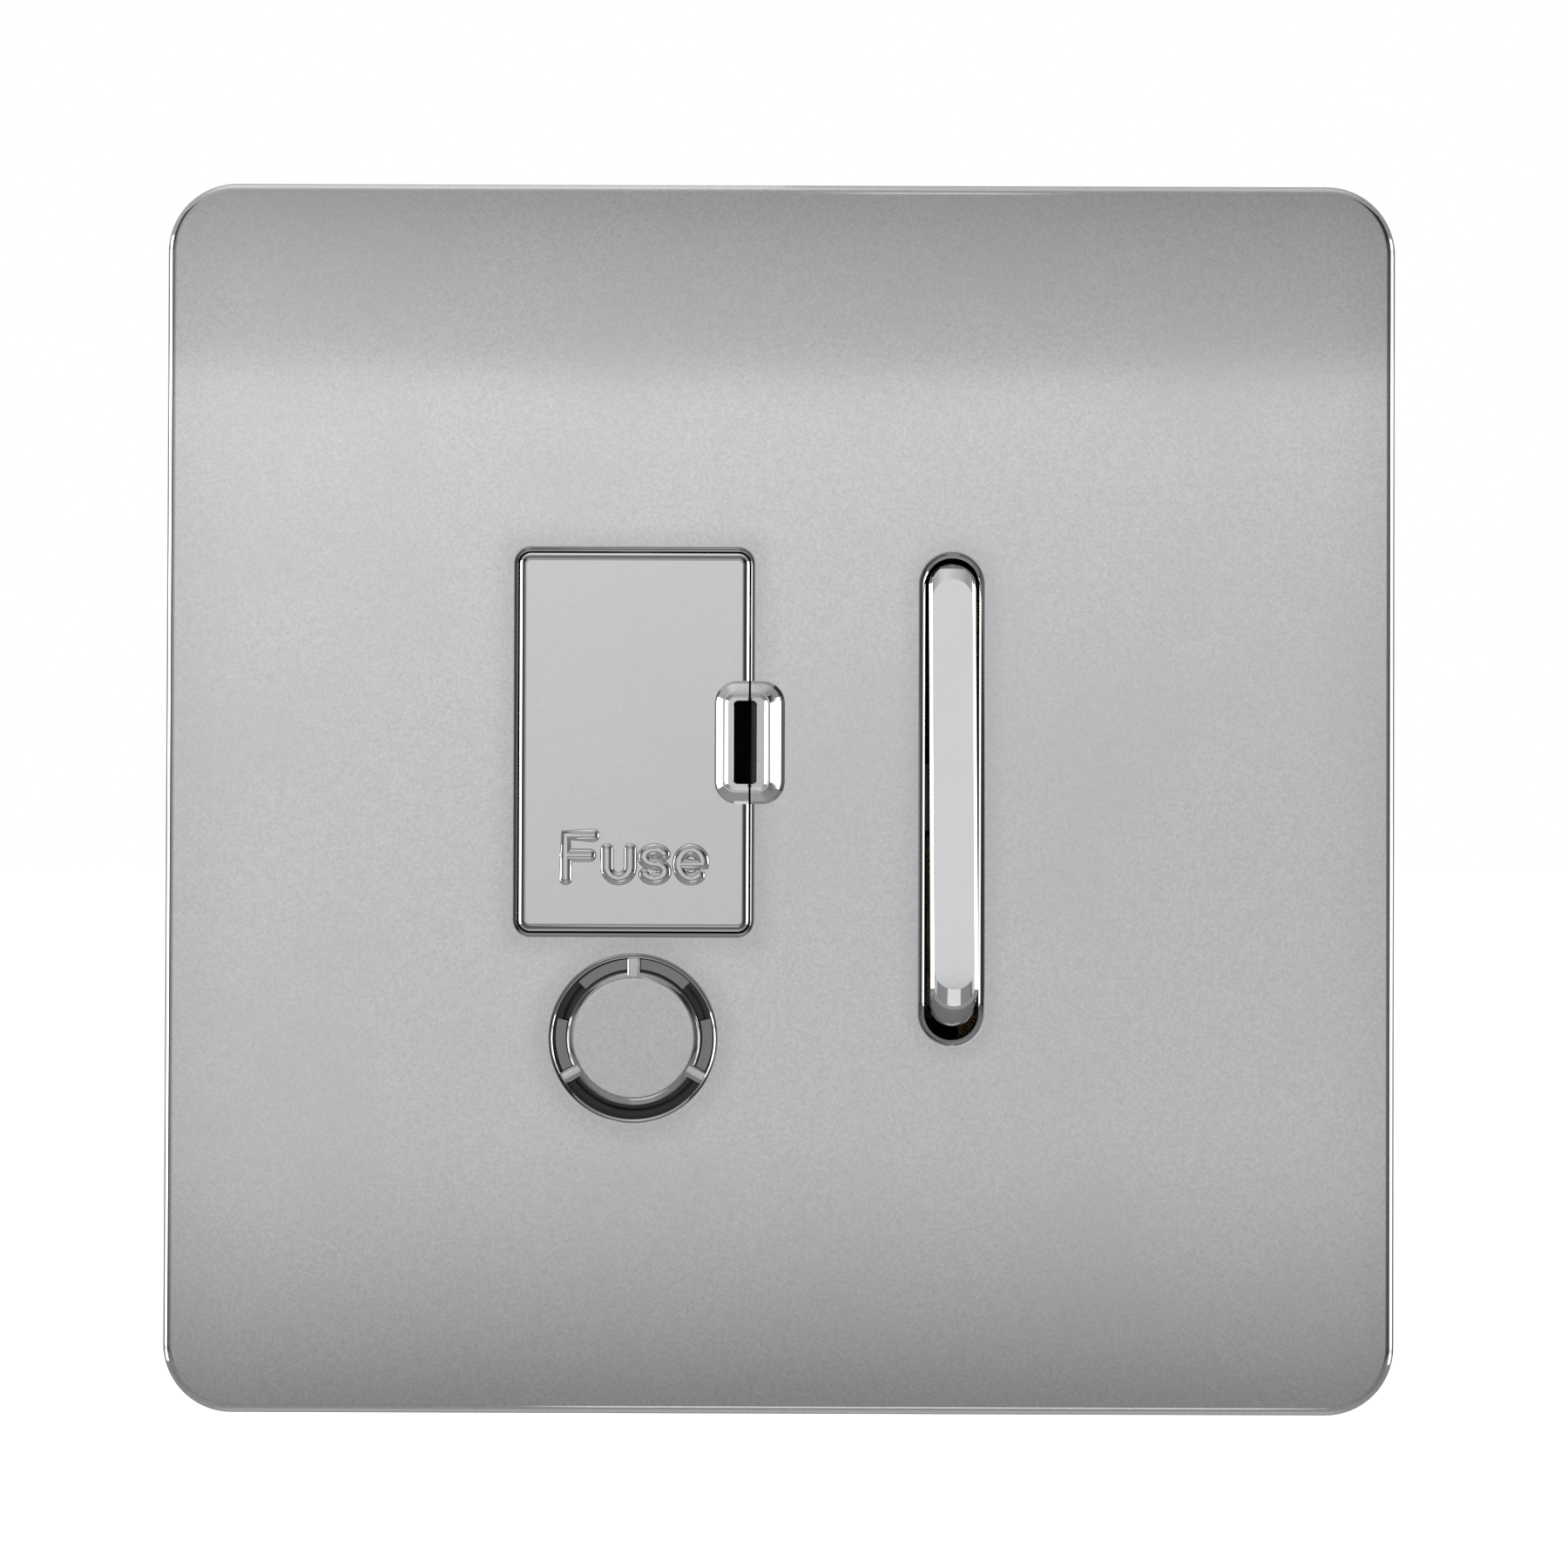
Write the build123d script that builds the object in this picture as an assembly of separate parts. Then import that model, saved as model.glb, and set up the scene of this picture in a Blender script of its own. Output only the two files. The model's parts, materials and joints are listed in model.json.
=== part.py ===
from build123d import *
import math
import os

# One-gang switched fused spur unit, millimetres.
# +X is right, +Z is up, the wall is the plane y = 0 and the front faces -Y.

# Front plate
plate_size = 86.0
plate_corner_r = 4.8
plate_depth = 8.0
plate_wall = 2.0
plate_rim = 2.0
plate_edge_r = 1.0
pry_notch_w = 9.0
pry_notch_depth = 1.2

# Fuse drawer front, with its lever slot on the right edge
door_x = -10.2
door_z = 3.9
door_w = 16.0
door_end_margin = 0.5
door_r = 0.75
door_gap = 0.15
door_wall = 1.2
door_rim = 1.0
door_depth = 2.5
door_proud = 0.2
door_edge_r = 0.6
door_opening_r = 0.4
lever_w = 4.9
lever_h = 8.6
lever_r = 1.6
lever_root = 0.5
lever_rise = 0.75
lever_slope = 0.6
lever_crest = 0.1
lever_dish_slope = 0.3
lever_dish_depth = 0.35
lever_slot_h = 5.75
lever_slot_in_door = 1.2
lever_slot_in_plate = 0.3
lever_ramp_depth = 0.7

# Flex outlet knock-out, below the drawer
outlet_gap = 1.85
outlet_r = 5.65
outlet_ring = 1.0
outlet_tab_w = 0.8
outlet_tab_root = 0.3
outlet_tabs = 3
outlet_recess = 0.4
outlet_web = 0.5
outlet_web_arcs = [(45, 135), (166, 210), (330, 374)]
outlet_edge_r = 0.35
outlet_disc_edge_r = 0.45
outlet_floor_step = 0.4
tunnel_wall = 1.2

# Rocker, its hub and its pivot
rocker_x = 12.0
rocker_w = 3.25
rocker_len = 31.2
rocker_face_h = 7.35
rocker_base_h = 1.0
rocker_facet_len = 1.2
rocker_facet_drop = 0.6
rocker_end_draft = 6.8
rocker_edge_r = 0.3
rocker_wall = 0.6
rocker_tilt = 9.0
rocker_side_gap = 0.28
rocker_end_gap = 0.4
rocker_opening_r = 0.6
pivot_depth = 5.0
hub_r = 2.6
hub_len = 15.2
trunnion_r = 1.25
trunnion_len = 2.0
running_gap = 0.06
bearing_wall = 1.5

# Switch poles: plungers, rocking blades and contacts
pole_offset = 4.5
plunger_r = 1.5
plunger_reach = 8.0
plunger_len = 4.6
plunger_play = 0.05
tower_r = 2.4
tower_reach = 5.6
spring_wire = 0.4
spring_turns = 3
blade_w = 4.2
blade_thick = 0.8
blade_tail = 11.0
blade_tilt = 8.0
contact_arm = 9.5
contact_r = 1.5
contact_thick = 0.8
contact_touch = 0.08
bar_thick = 0.8
bar_w = 4.0
knife_r = 0.6
cheek_h = 5.0

# Cartridge fuse, its carrier and its spring clips
fuse_len = 25.4
fuse_r = 3.175
fuse_cap_skin = 0.225
fuse_cap_len = 5.8
fuse_cap_wall = 0.2
fuse_depth = 7.6
fuse_play = 0.1
carrier_wall = 1.4
carrier_side_gap = 0.2
saddle_h = 10.0
web_wall = 1.4
snap_lip = 0.8
drawer_travel = 11.0
stop_lug = 0.75
stop_lug_len = 1.2
stop_play = 0.2
back_bar_gap = 1.0
clip_h = 4.5
clip_thick = 0.6
clip_grip = 0.05
clip_flare = 0.8

# Moulded module: front cover and rear housing
module_w = 49.0
module_r = 2.5
cover_gap = 0.1
cover_skin = 1.5
cover_wall = 1.6
housing_depth = 21.0
housing_wall = 1.8
housing_edge_r = 1.0
step_depth = 9.0
fit_gap = 0.15

# Steel mounting frame, with the fixing screws on standard one-gang centres
frame_w = 72.0
frame_h = 72.0
frame_thick = 1.2
frame_corner_r = 3.0
frame_flange = 4.2
frame_bend_r = 0.4
frame_relief = 1.0
frame_lip = 2.5
fixing_centres = 60.3
fixing_slot_w = 4.3
fixing_slot_len = 6.5
clip_tab_x = 20.0
clip_tab_w = 8.0
clip_tab_thick = 1.2
clip_tab_gap = 0.15
clip_barb = 0.8

# Terminals and their screws
terminal_w = 7.6
terminal_h = 8.2
terminal_front = 6.0
terminal_depth = 9.5
wire_r = 2.2
wire_hole_len = 7.2
wire_inset = 3.6
wire_wall = 1.4
terminal_gap = 1.55
live_side_gap = 0.3
neutral_side_gap = 1.3
supply_gap = 2.0
earth_x = -1.0
earth_pitch = 7.2
terminal_screw_r = 1.75
terminal_screw_head_r = 2.7
terminal_screw_head_h = 1.8
screw_slot = 0.8
screw_back_off = 1.5
screw_hole_gap = 0.05

# Assembly screws and the flex clamp
screw_r = 1.3
screw_head_r = 2.3
screw_head_h = 1.8
column_r = 2.9
column_inset = 3.2
column_gap = 0.3
column_step_rise = 3.3
screw_seat_y = 8.0
screw_bite = 3.6
clamp_half_span = 6.0
clamp_drop = 7.5
clamp_w = 4.6
clamp_thick = 2.6
clamp_boss_r = 2.1
clamp_boss_h = 2.5

# How near an edge lies to the level that it is picked by
pick_room = 0.001

# Levels from front to back
plate_front = -plate_depth
plate_back = plate_front + plate_wall
door_front = plate_front - door_proud
door_back = plate_front + door_depth
disc_front = plate_front + outlet_recess
cover_front = plate_back + cover_gap
skin_back = cover_front + cover_skin
cover_back = -frame_thick
pivot_y = plate_front + pivot_depth
fuse_y = plate_front + fuse_depth
saddle_front = fuse_y - fuse_r - fuse_play
web_front = fuse_y + fuse_r + fuse_play
web_back = web_front + web_wall
lug_front = cover_back + drawer_travel + stop_play
carrier_back = lug_front + stop_lug_len
blade_front = pivot_y + plunger_reach + plunger_play
blade_back = blade_front + blade_thick
blade_axis_y = blade_back + running_gap + knife_r
blade_swing = math.radians(blade_tilt)
tip_back = contact_thick - running_gap - knife_r
contact_closed = tip_back * math.cos(blade_swing) + (contact_arm + contact_r) * math.sin(blade_swing)
fixed_contact_front = blade_axis_y + contact_closed + contact_touch
link_y = fixed_contact_front + contact_thick
back_bar_y = carrier_back + back_bar_gap
terminal_back = terminal_front + terminal_depth
wire_y = terminal_front + wire_inset
housing_floor = housing_depth - housing_wall

# Places in the front view
door_h = fuse_len + 2 * door_end_margin
door_right = door_x + door_w / 2
door_opening_right = door_right + door_gap
parting_x = door_right + door_gap / 2
outlet_x = door_x
outlet_z = door_z - door_h / 2 - outlet_gap - outlet_r
tilt = math.radians(rocker_tilt)
rocker_end_h = rocker_face_h - rocker_facet_drop
rocker_reach = rocker_len / 2 * math.cos(tilt) + rocker_end_h * math.sin(tilt)
rocker_opening_w = rocker_w + 2 * rocker_side_gap
rocker_opening_len = 2 * (rocker_reach + rocker_end_gap)
live_x = rocker_x - pole_offset
neutral_x = rocker_x + pole_offset
fuse_tube_r = fuse_r - fuse_cap_skin
clip_arm = (fuse_len - fuse_cap_len) / 2
terminal_inner_z = door_z + door_h / 2 + door_gap + terminal_gap
terminal_z = terminal_inner_z + terminal_h / 2
module_h = 2 * (terminal_inner_z + terminal_h)
load_live_x = -(module_w / 2 - housing_wall - live_side_gap - terminal_w / 2)
neutral_terminal_x = module_w / 2 - housing_wall - neutral_side_gap - terminal_w / 2
supply_live_x = neutral_terminal_x - terminal_w - supply_gap
earth_w = earth_pitch + 2 * (wire_r + wire_wall)
clamp_z = outlet_z - clamp_drop
carrier_left = door_x - door_w / 2 + carrier_side_gap
carrier_right = door_right - carrier_side_gap
carrier_h = door_h - 4 * carrier_side_gap

# Assembly screw columns: two between the top terminals, one by the supply terminals and one beside the outlet
column_z = module_h / 2 - column_inset
column_top_left_x = (load_live_x + earth_x + (terminal_w - earth_w) / 2) / 2
column_top_right_x = (neutral_terminal_x + earth_x + (earth_w - terminal_w) / 2) / 2
column_bottom_x = supply_live_x - terminal_w / 2 - column_gap - column_r
column_step = (column_inset - module_w / 2, outlet_z + column_step_rise)
top_columns = [(column_top_left_x, column_z), (column_top_right_x, column_z)]
columns = top_columns + [(column_bottom_x, -column_z), column_step]

# Terminals by name: place, side of the module, width and the offset of each wire hole
earth_wires = (-earth_pitch / 2, earth_pitch / 2)
terminals = {
    "load_live_terminal": (load_live_x, 1, terminal_w, (0,)),
    "earth_terminal": (earth_x, 1, earth_w, earth_wires),
    "load_neutral_terminal": (neutral_terminal_x, 1, terminal_w, (0,)),
    "supply_live_terminal": (supply_live_x, -1, terminal_w, (0,)),
    "supply_neutral_terminal": (neutral_terminal_x, -1, terminal_w, (0,)),
}


def span(centre, half):
    return (centre - half, centre + half)


def block(x, y, z):
    size = [high - low for low, high in (x, y, z)]
    return Pos(*[(low + high) / 2 for low, high in (x, y, z)]) * Box(*size)


def prism(outline, x, z, y):
    """A front-view outline at (x, z), extruded from y[0] at the front to y[1] at the back."""
    return extrude(Plane.XZ.offset(-y[1]) * Pos(x, z) * outline, amount=y[1] - y[0])


def tapered(outline, x, z, y, angle):
    """As prism, but narrowing towards the front by an angle in degrees, or widening if it is negative."""
    return extrude(Plane.XZ.offset(-y[1]) * Pos(x, z) * outline, amount=y[1] - y[0], taper=angle)


def rod_x(radius, x, y, z):
    return Pos((x[0] + x[1]) / 2, y, z) * Rot(0, 90, 0) * Cylinder(radius, x[1] - x[0])


def rod_y(radius, x, y, z):
    return Pos(x, (y[0] + y[1]) / 2, z) * Rot(90, 0, 0) * Cylinder(radius, y[1] - y[0])


def rod_z(radius, x, y, z):
    return Pos(x, y, (z[0] + z[1]) / 2) * Cylinder(radius, z[1] - z[0])


def edges_at(part, y, x, z):
    """The edges that lie at depth y, with their middles inside a front-view window."""
    found = part.edges().filter_by_position(Axis.Y, *span(y, pick_room))
    return found.filter_by_position(Axis.X, *x).filter_by_position(Axis.Z, *z)


def front_edges(part):
    return part.faces().sort_by(Axis.Y)[0].edges()


def back_edges(part):
    return part.faces().sort_by(Axis.Y)[-1].edges()


# Front plate and fuse door


def door_opening(y):
    outline = RectangleRounded(door_w + 2 * door_gap, door_h + 2 * door_gap, door_r + door_gap)
    return prism(outline, door_x, door_z, y)


def rocker_opening(margin, y):
    outline = SlotOverall(rocker_opening_len + 2 * margin, rocker_opening_w + 2 * margin, rotation=90)
    return prism(outline, rocker_x, 0, y)


def lever_rim():
    """The raised rim round the lever slot, sloped inside and out, half on the door and half on the plate."""
    front = plate_front - lever_rise
    outline = RectangleRounded(lever_w, lever_h, lever_r)
    slope = math.degrees(math.atan2(lever_slope, lever_rise))
    pad = tapered(outline, parting_x, door_z, (front, plate_front), slope)
    pad += prism(outline, parting_x, door_z, (plate_front, plate_front + lever_root))
    inset = lever_slope + lever_crest + lever_dish_slope
    floor = RectangleRounded(lever_w - 2 * inset, lever_h - 2 * inset, lever_r - inset)
    dish_slope = math.degrees(math.atan2(lever_dish_slope, lever_dish_depth))
    return pad - tapered(floor, parting_x, door_z, (front, front + lever_dish_depth), -dish_slope)


def lever_slot():
    slot_w = lever_slot_in_door + lever_slot_in_plate
    slot_x = parting_x + (lever_slot_in_plate - lever_slot_in_door) / 2
    outline = RectangleRounded(slot_w, lever_slot_h, slot_w / 5)
    return prism(outline, slot_x, door_z, (plate_front - lever_rise, plate_back + door_depth))


def lever_ramp():
    """The ramp behind the slot that a screwdriver's tip slides down to lift the drawer."""
    left = parting_x - lever_slot_in_door
    corners = [(left, door_back), (carrier_right, door_back), (carrier_right, door_back + lever_ramp_depth)]
    ramp = extrude(make_face(Polyline(corners, close=True)), amount=lever_slot_h)
    return Pos(0, 0, door_z - lever_slot_h / 2) * ramp


def knock_out_tab(number):
    """One of the break-off tabs between the disc and the plate, sunk into both."""
    inner = outlet_r - outlet_ring - outlet_tab_root
    outer = outlet_r + outlet_tab_root
    tab = prism(Rectangle(outer - inner, outlet_tab_w), outlet_x + (inner + outer) / 2, outlet_z,
                (disc_front, plate_back))
    tab = fillet(front_edges(tab).filter_by(Axis.X), outlet_tab_w / 4)
    turn = 90 + number * 360 / outlet_tabs
    return tab.rotate(Axis((outlet_x, 0, outlet_z), (0, -1, 0)), turn)


def knock_out_webs():
    """Thin floors of the groove beside the tabs, which tear when the disc is pushed out."""
    webs = Sketch()
    for start, end in outlet_web_arcs:
        arc = CenterArc((0, 0), outlet_r - outlet_ring / 2, start, end - start)
        webs += trace(arc, outlet_ring)
    return prism(webs, outlet_x, outlet_z, (plate_back - outlet_web, plate_back))


def knock_out_disc():
    disc = rod_y(outlet_r - outlet_ring, outlet_x, (disc_front, plate_back), outlet_z)
    disc = fillet(front_edges(disc), outlet_disc_edge_r)
    for number in range(outlet_tabs):
        disc += knock_out_tab(number)
    return disc + knock_out_webs()


def plate_clip(x, side):
    """A spring tab behind the plate, with a barb for the window in the frame's flange."""
    inner = frame_h / 2 + clip_tab_gap
    z = sorted((side * inner, side * (inner + clip_tab_thick)))
    tab = block(span(x, clip_tab_w / 2), (plate_back, -frame_thick), z)
    barb_z = sorted((side * inner, side * (inner - clip_barb)))
    middle = -frame_thick - (frame_flange - frame_thick) / 2
    return tab + block(span(x, clip_tab_w / 2), span(middle, clip_barb / 2), barb_z)


def front_plate():
    plate = prism(RectangleRounded(plate_size, plate_size, plate_corner_r), 0, 0, (plate_front, 0))
    plate = fillet(front_edges(plate), plate_edge_r)
    inner = plate_size - 2 * plate_rim
    inner_r = max(plate_corner_r - plate_rim, 0.5)
    plate -= prism(RectangleRounded(inner, inner, inner_r), 0, 0, (plate_back, 0))
    plate -= door_opening((plate_front, plate_back))
    door_window = (span(door_x, door_w / 2 + 2 * door_gap), span(door_z, door_h / 2 + 2 * door_gap))
    plate = fillet(edges_at(plate, plate_front, *door_window), door_opening_r)
    plate -= rocker_opening(0, (plate_front, plate_back))
    rocker_window = (span(rocker_x, rocker_opening_w), span(0, rocker_opening_len / 2 + rocker_end_gap))
    plate = fillet(edges_at(plate, plate_front, *rocker_window), rocker_opening_r)
    plate -= rod_y(outlet_r, outlet_x, (plate_front, plate_back), outlet_z)
    outlet_window = (span(outlet_x, outlet_r + outlet_gap), span(outlet_z, outlet_r + outlet_gap))
    plate = fillet(edges_at(plate, plate_front, *outlet_window), outlet_edge_r)
    plate += knock_out_disc()
    beyond_door = block((door_opening_right, door_opening_right + lever_w),
                        span(plate_front, plate_wall), span(door_z, lever_h))
    plate += lever_rim() & beyond_door
    plate -= lever_slot()
    for side in (-1, 1):
        for x in (-clip_tab_x, clip_tab_x):
            plate += plate_clip(x, side)
    rim_z = (-plate_size / 2, -plate_size / 2 + plate_rim)
    return plate - block(span(0, pry_notch_w / 2), (-pry_notch_depth, 0), rim_z)


def fuse_door():
    door = prism(RectangleRounded(door_w, door_h, door_r), door_x, door_z, (door_front, door_back))
    door = fillet(front_edges(door), door_edge_r)
    hollow = Rectangle(door_w - 2 * door_rim, door_h - 2 * door_rim)
    door -= prism(hollow, door_x, door_z, (plate_front + door_wall, door_back))
    on_door = block((door_right - lever_w, door_right), span(plate_front, lever_rise), span(door_z, lever_h))
    door += lever_rim() & on_door
    return door - lever_slot()


# Fuse, carrier and spring clips


def fuse_carrier():
    """Black saddle behind the door: the fuse goes in from the right, its caps left bare for the clips."""
    z = span(door_z, carrier_h / 2)
    mid_z = span(door_z, saddle_h / 2)
    tray_w = door_w - 2 * (door_rim + fit_gap)
    tray_h = door_h - 2 * (door_rim + fit_gap)
    carrier = prism(Rectangle(tray_w, tray_h), door_x, door_z, (plate_front + door_wall, door_back))
    carrier += block((carrier_left, carrier_right), (door_back, saddle_front), z)
    carrier += block((carrier_left, carrier_left + carrier_wall), (saddle_front, carrier_back), z)
    carrier += block((carrier_left, door_x), (saddle_front, web_front), mid_z)
    carrier -= rod_z(fuse_tube_r + fuse_play, door_x, fuse_y, mid_z)
    carrier += block((carrier_left, carrier_right), (web_front, web_back), mid_z)
    carrier += block((carrier_right - carrier_wall, carrier_right), (web_front, carrier_back), mid_z)
    lip_x = (door_x + fuse_tube_r, door_x + fuse_tube_r + snap_lip)
    carrier += block(lip_x, (web_front - snap_lip, web_front), span(door_z, saddle_h / 4))
    lug_y = (lug_front, carrier_back)
    lug_z = span(door_z, saddle_h / 2.5)
    carrier += block((carrier_left - stop_lug, carrier_left), lug_y, lug_z)
    carrier += block((carrier_right, carrier_right + stop_lug), lug_y, lug_z)
    return carrier - lever_ramp()


def fuse_tube():
    half = fuse_len / 2 - fuse_cap_wall
    return rod_z(fuse_tube_r, door_x, fuse_y, span(door_z, half))


def fuse_caps():
    caps = []
    for side in (-1, 1):
        outer_z = door_z + side * fuse_len / 2
        z = sorted((outer_z, outer_z - side * fuse_cap_len))
        cap = rod_z(fuse_r, door_x, fuse_y, z)
        rim = cap.edges().filter_by(GeomType.CIRCLE).sort_by(Axis.Z)[-1 if side > 0 else 0]
        cap = fillet(rim, fuse_cap_wall)
        bore_z = sorted((outer_z - side * fuse_cap_wall, outer_z - side * fuse_cap_len))
        caps.append(cap - rod_z(fuse_tube_r, door_x, fuse_y, bore_z))
    return Compound(children=caps)


def fuse_clip(side):
    """U-shaped spring clip: two jaws along the fuse cap, flared where the cap enters."""
    jaw = fuse_r + clip_grip + clip_thick / 2
    tip = saddle_front + fuse_r / 2
    base = link_y - clip_thick / 2
    points = [
        (door_x - jaw - clip_flare, tip - clip_flare),
        (door_x - jaw, tip),
        (door_x - jaw, base),
        (door_x + jaw, base),
        (door_x + jaw, tip),
        (door_x + jaw + clip_flare, tip - clip_flare),
    ]
    profile = trace(Polyline(points), clip_thick)
    z = span(door_z + side * clip_arm, clip_h / 2)
    return Pos(0, 0, z[0]) * extrude(profile, amount=z[1] - z[0])


# Rocker


def rocker_section(length, height):
    plane = Plane.XZ.offset(-(pivot_y - height))
    return plane * Pos(rocker_x, 0) * SlotOverall(length, rocker_w, rotation=90)


def at_rest(part):
    """Turns a piece from the rocker's middle position to off: top in, bottom out."""
    return part.rotate(Axis((0, pivot_y, 0), (1, 0, 0)), -rocker_tilt)


def rocker_cap():
    draft = math.tan(math.radians(rocker_end_draft))
    base_len = rocker_len + 2 * (rocker_end_h - rocker_base_h) * draft
    base = rocker_section(base_len, rocker_base_h)
    edge = rocker_section(rocker_len, rocker_end_h)
    face = rocker_section(rocker_len - 2 * rocker_facet_len, rocker_face_h)
    cap = loft([base, edge], ruled=True) + loft([edge, face], ruled=True)
    ends = cap.edges().filter_by(GeomType.CIRCLE)
    ends = ends.filter_by_position(Axis.Y, *span(pivot_y - rocker_end_h, pick_room))
    cap = fillet(ends, rocker_edge_r)
    sides = edges_at(cap, pivot_y - rocker_face_h, span(rocker_x, rocker_w), span(0, rocker_len / 4))
    cap = fillet(sides, rocker_edge_r)
    core_len = rocker_len - 2 * (rocker_facet_len + rocker_wall)
    core_y = (pivot_y - rocker_end_h + rocker_wall, pivot_y - rocker_base_h)
    return cap - prism(SlotOverall(core_len, rocker_w - 2 * rocker_wall, rotation=90), rocker_x, 0, core_y)


def rocker_hub():
    core_len = rocker_len - 2 * (rocker_facet_len + rocker_wall + running_gap)
    core_w = rocker_w - 2 * (rocker_wall + running_gap)
    core_y = (pivot_y - rocker_end_h + rocker_wall, pivot_y - rocker_base_h)
    hub = rod_x(hub_r, span(rocker_x, hub_len / 2), pivot_y, 0)
    hub += rod_x(trunnion_r, span(rocker_x, hub_len / 2 + trunnion_len), pivot_y, 0)
    above_flat = (pivot_y - 2 * hub_r, pivot_y - rocker_base_h)
    hub -= block(span(rocker_x, hub_len / 2), above_flat, span(0, 2 * hub_r))
    hub += prism(SlotOverall(core_len, core_w, rotation=90), rocker_x, 0, core_y)
    keel_y = (pivot_y - rocker_base_h, pivot_y)
    hub += prism(SlotOverall(core_len, core_w, rotation=90), rocker_x, 0, keel_y)
    for x in (live_x, neutral_x):
        hub += rod_y(tower_r, x, (pivot_y, pivot_y + tower_reach), 0)
    for x in (live_x, neutral_x):
        hub -= rod_y(plunger_r + running_gap, x, (pivot_y, pivot_y + tower_reach), 0)
    return hub


def plunger(x):
    tip = pivot_y + plunger_reach
    body = rod_y(plunger_r, x, (tip - plunger_len, tip - plunger_r), 0)
    return body + Pos(x, tip - plunger_r, 0) * Sphere(plunger_r)


def plunger_spring(x):
    """Square-wire coil between the tower's floor and the plunger."""
    low = pivot_y + spring_wire / 2 + running_gap
    high = pivot_y + plunger_reach - plunger_len - spring_wire / 2 - running_gap
    coil_r = plunger_r - spring_wire
    path = Helix((high - low) / spring_turns, high - low, coil_r)
    wire = Plane.XZ * Pos(coil_r, 0) * Rectangle(spring_wire, spring_wire)
    coil = sweep(wire, path=path, is_frenet=True)
    return Pos(x, low, 0) * Rot(-90, 0, 0) * coil


# Switch contacts and conductors


def open_blade(part):
    """Turns a piece of a rocking blade on its knife edge, from its middle position to open."""
    return part.rotate(Axis((0, blade_axis_y, 0), (1, 0, 0)), blade_tilt)


def contact_blade(x):
    top = contact_arm + contact_r + bar_thick
    outline = RectangleRounded(blade_w, top + blade_tail, blade_w / 3)
    return open_blade(prism(outline, x, (top - blade_tail) / 2, (blade_front, blade_back)))


def contact_tip(x):
    tip = rod_y(contact_r, x, (blade_back, blade_back + contact_thick), contact_arm)
    return open_blade(tip)


def fixed_contact_tips():
    y = (fixed_contact_front, link_y)
    return Compound(children=[rod_y(contact_r, x, y, contact_arm) for x in (live_x, neutral_x)])


def pivot_bracket(x):
    """Knife edge and cheeks that carry a rocking blade, on a bar down to the supply terminal."""
    bar_y = (back_bar_y, back_bar_y + bar_thick)
    cheek = blade_w / 2 + fit_gap
    bracket = block(span(x, cheek + bar_thick), bar_y, (-terminal_inner_z, cheek_h / 2))
    bracket += block(span(x, cheek), (blade_axis_y, back_bar_y), span(0, knife_r))
    bracket += rod_x(knife_r, span(x, cheek), blade_axis_y, 0)
    for side in (-1, 1):
        cheek_x = sorted((x + side * cheek, x + side * (cheek + bar_thick)))
        bracket += block(cheek_x, (blade_front - bar_thick, back_bar_y), span(0, cheek_h / 2))
    return bracket


def live_link():
    """Strip from the live fixed contact across to the upper fuse clip."""
    y = (link_y, link_y + bar_thick)
    z = span(door_z + clip_arm, clip_h / 3)
    upright = block(span(live_x, bar_w / 2), y, (contact_arm - contact_r, z[1]))
    return upright + block((door_x - fuse_r, live_x), y, z)


def load_live_bar():
    """Strip from the lower fuse clip, behind the carrier, up to the load live terminal."""
    z = span(door_z - clip_arm, clip_h / 3)
    left = door_x - fuse_r
    back_y = (back_bar_y, back_bar_y + bar_thick)
    bar = block((left, door_x + fuse_r), (link_y, link_y + bar_thick), z)
    bar += block((left, left + bar_thick), (link_y, back_y[1]), z)
    bar += block((load_live_x - bar_w / 2, left + bar_thick), back_y, z)
    return bar + block(span(load_live_x, bar_w / 2), back_y, (z[0], terminal_inner_z))


def load_neutral_bar():
    z = (contact_arm - contact_r, terminal_inner_z)
    return block(span(neutral_x, bar_w / 2), (link_y, link_y + bar_thick), z)


def terminal(x, side, width, wires):
    """Brass pillar terminal with a blind wire hole per conductor and a tapped hole behind it."""
    z = sorted((side * terminal_inner_z, side * module_h / 2))
    pillar = block(span(x, width / 2), (terminal_front, terminal_back), z)
    pillar = chamfer(pillar.edges().filter_by(Axis.Y), screw_slot / 2)
    for offset in wires:
        hole_z = sorted((side * module_h / 2, side * (module_h / 2 - wire_hole_len)))
        tapped_y = (wire_y, terminal_back)
        pillar -= rod_z(wire_r, x + offset, wire_y, hole_z)
        pillar -= rod_y(terminal_screw_r + screw_hole_gap, x + offset, tapped_y, side * terminal_z)
    return pillar


def terminal_screw_places():
    places = []
    for x, side, width, wires in terminals.values():
        places += [(x + offset, side * terminal_z) for offset in wires]
    return places


def terminal_screws():
    screws = []
    tip = wire_y + wire_r + screw_slot / 2
    seat = terminal_back + screw_back_off
    for x, z in terminal_screw_places():
        screw = rod_y(terminal_screw_r, x, (tip, seat), z)
        screw += rod_y(terminal_screw_head_r, x, (seat, seat + terminal_screw_head_h), z)
        top = seat + terminal_screw_head_h
        groove = block(span(x, terminal_screw_head_r), (top - screw_slot, top), span(z, screw_slot / 2))
        screws.append(screw - groove)
    return Compound(children=screws)


def earth_strap():
    """Bridge under the earth terminal, with a tongue forward to the back of the mounting frame."""
    z = (terminal_inner_z - bar_thick, terminal_inner_z)
    strap = block(span(earth_x, earth_w / 2), span(wire_y, wire_r), z)
    strap += block(span(earth_x, bar_w / 2), (0, wire_y), z)
    return strap + block(span(earth_x, bar_w / 2), (0, bar_thick), (z[0], terminal_inner_z + bar_w))


# Mounting frame and moulded module


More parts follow.
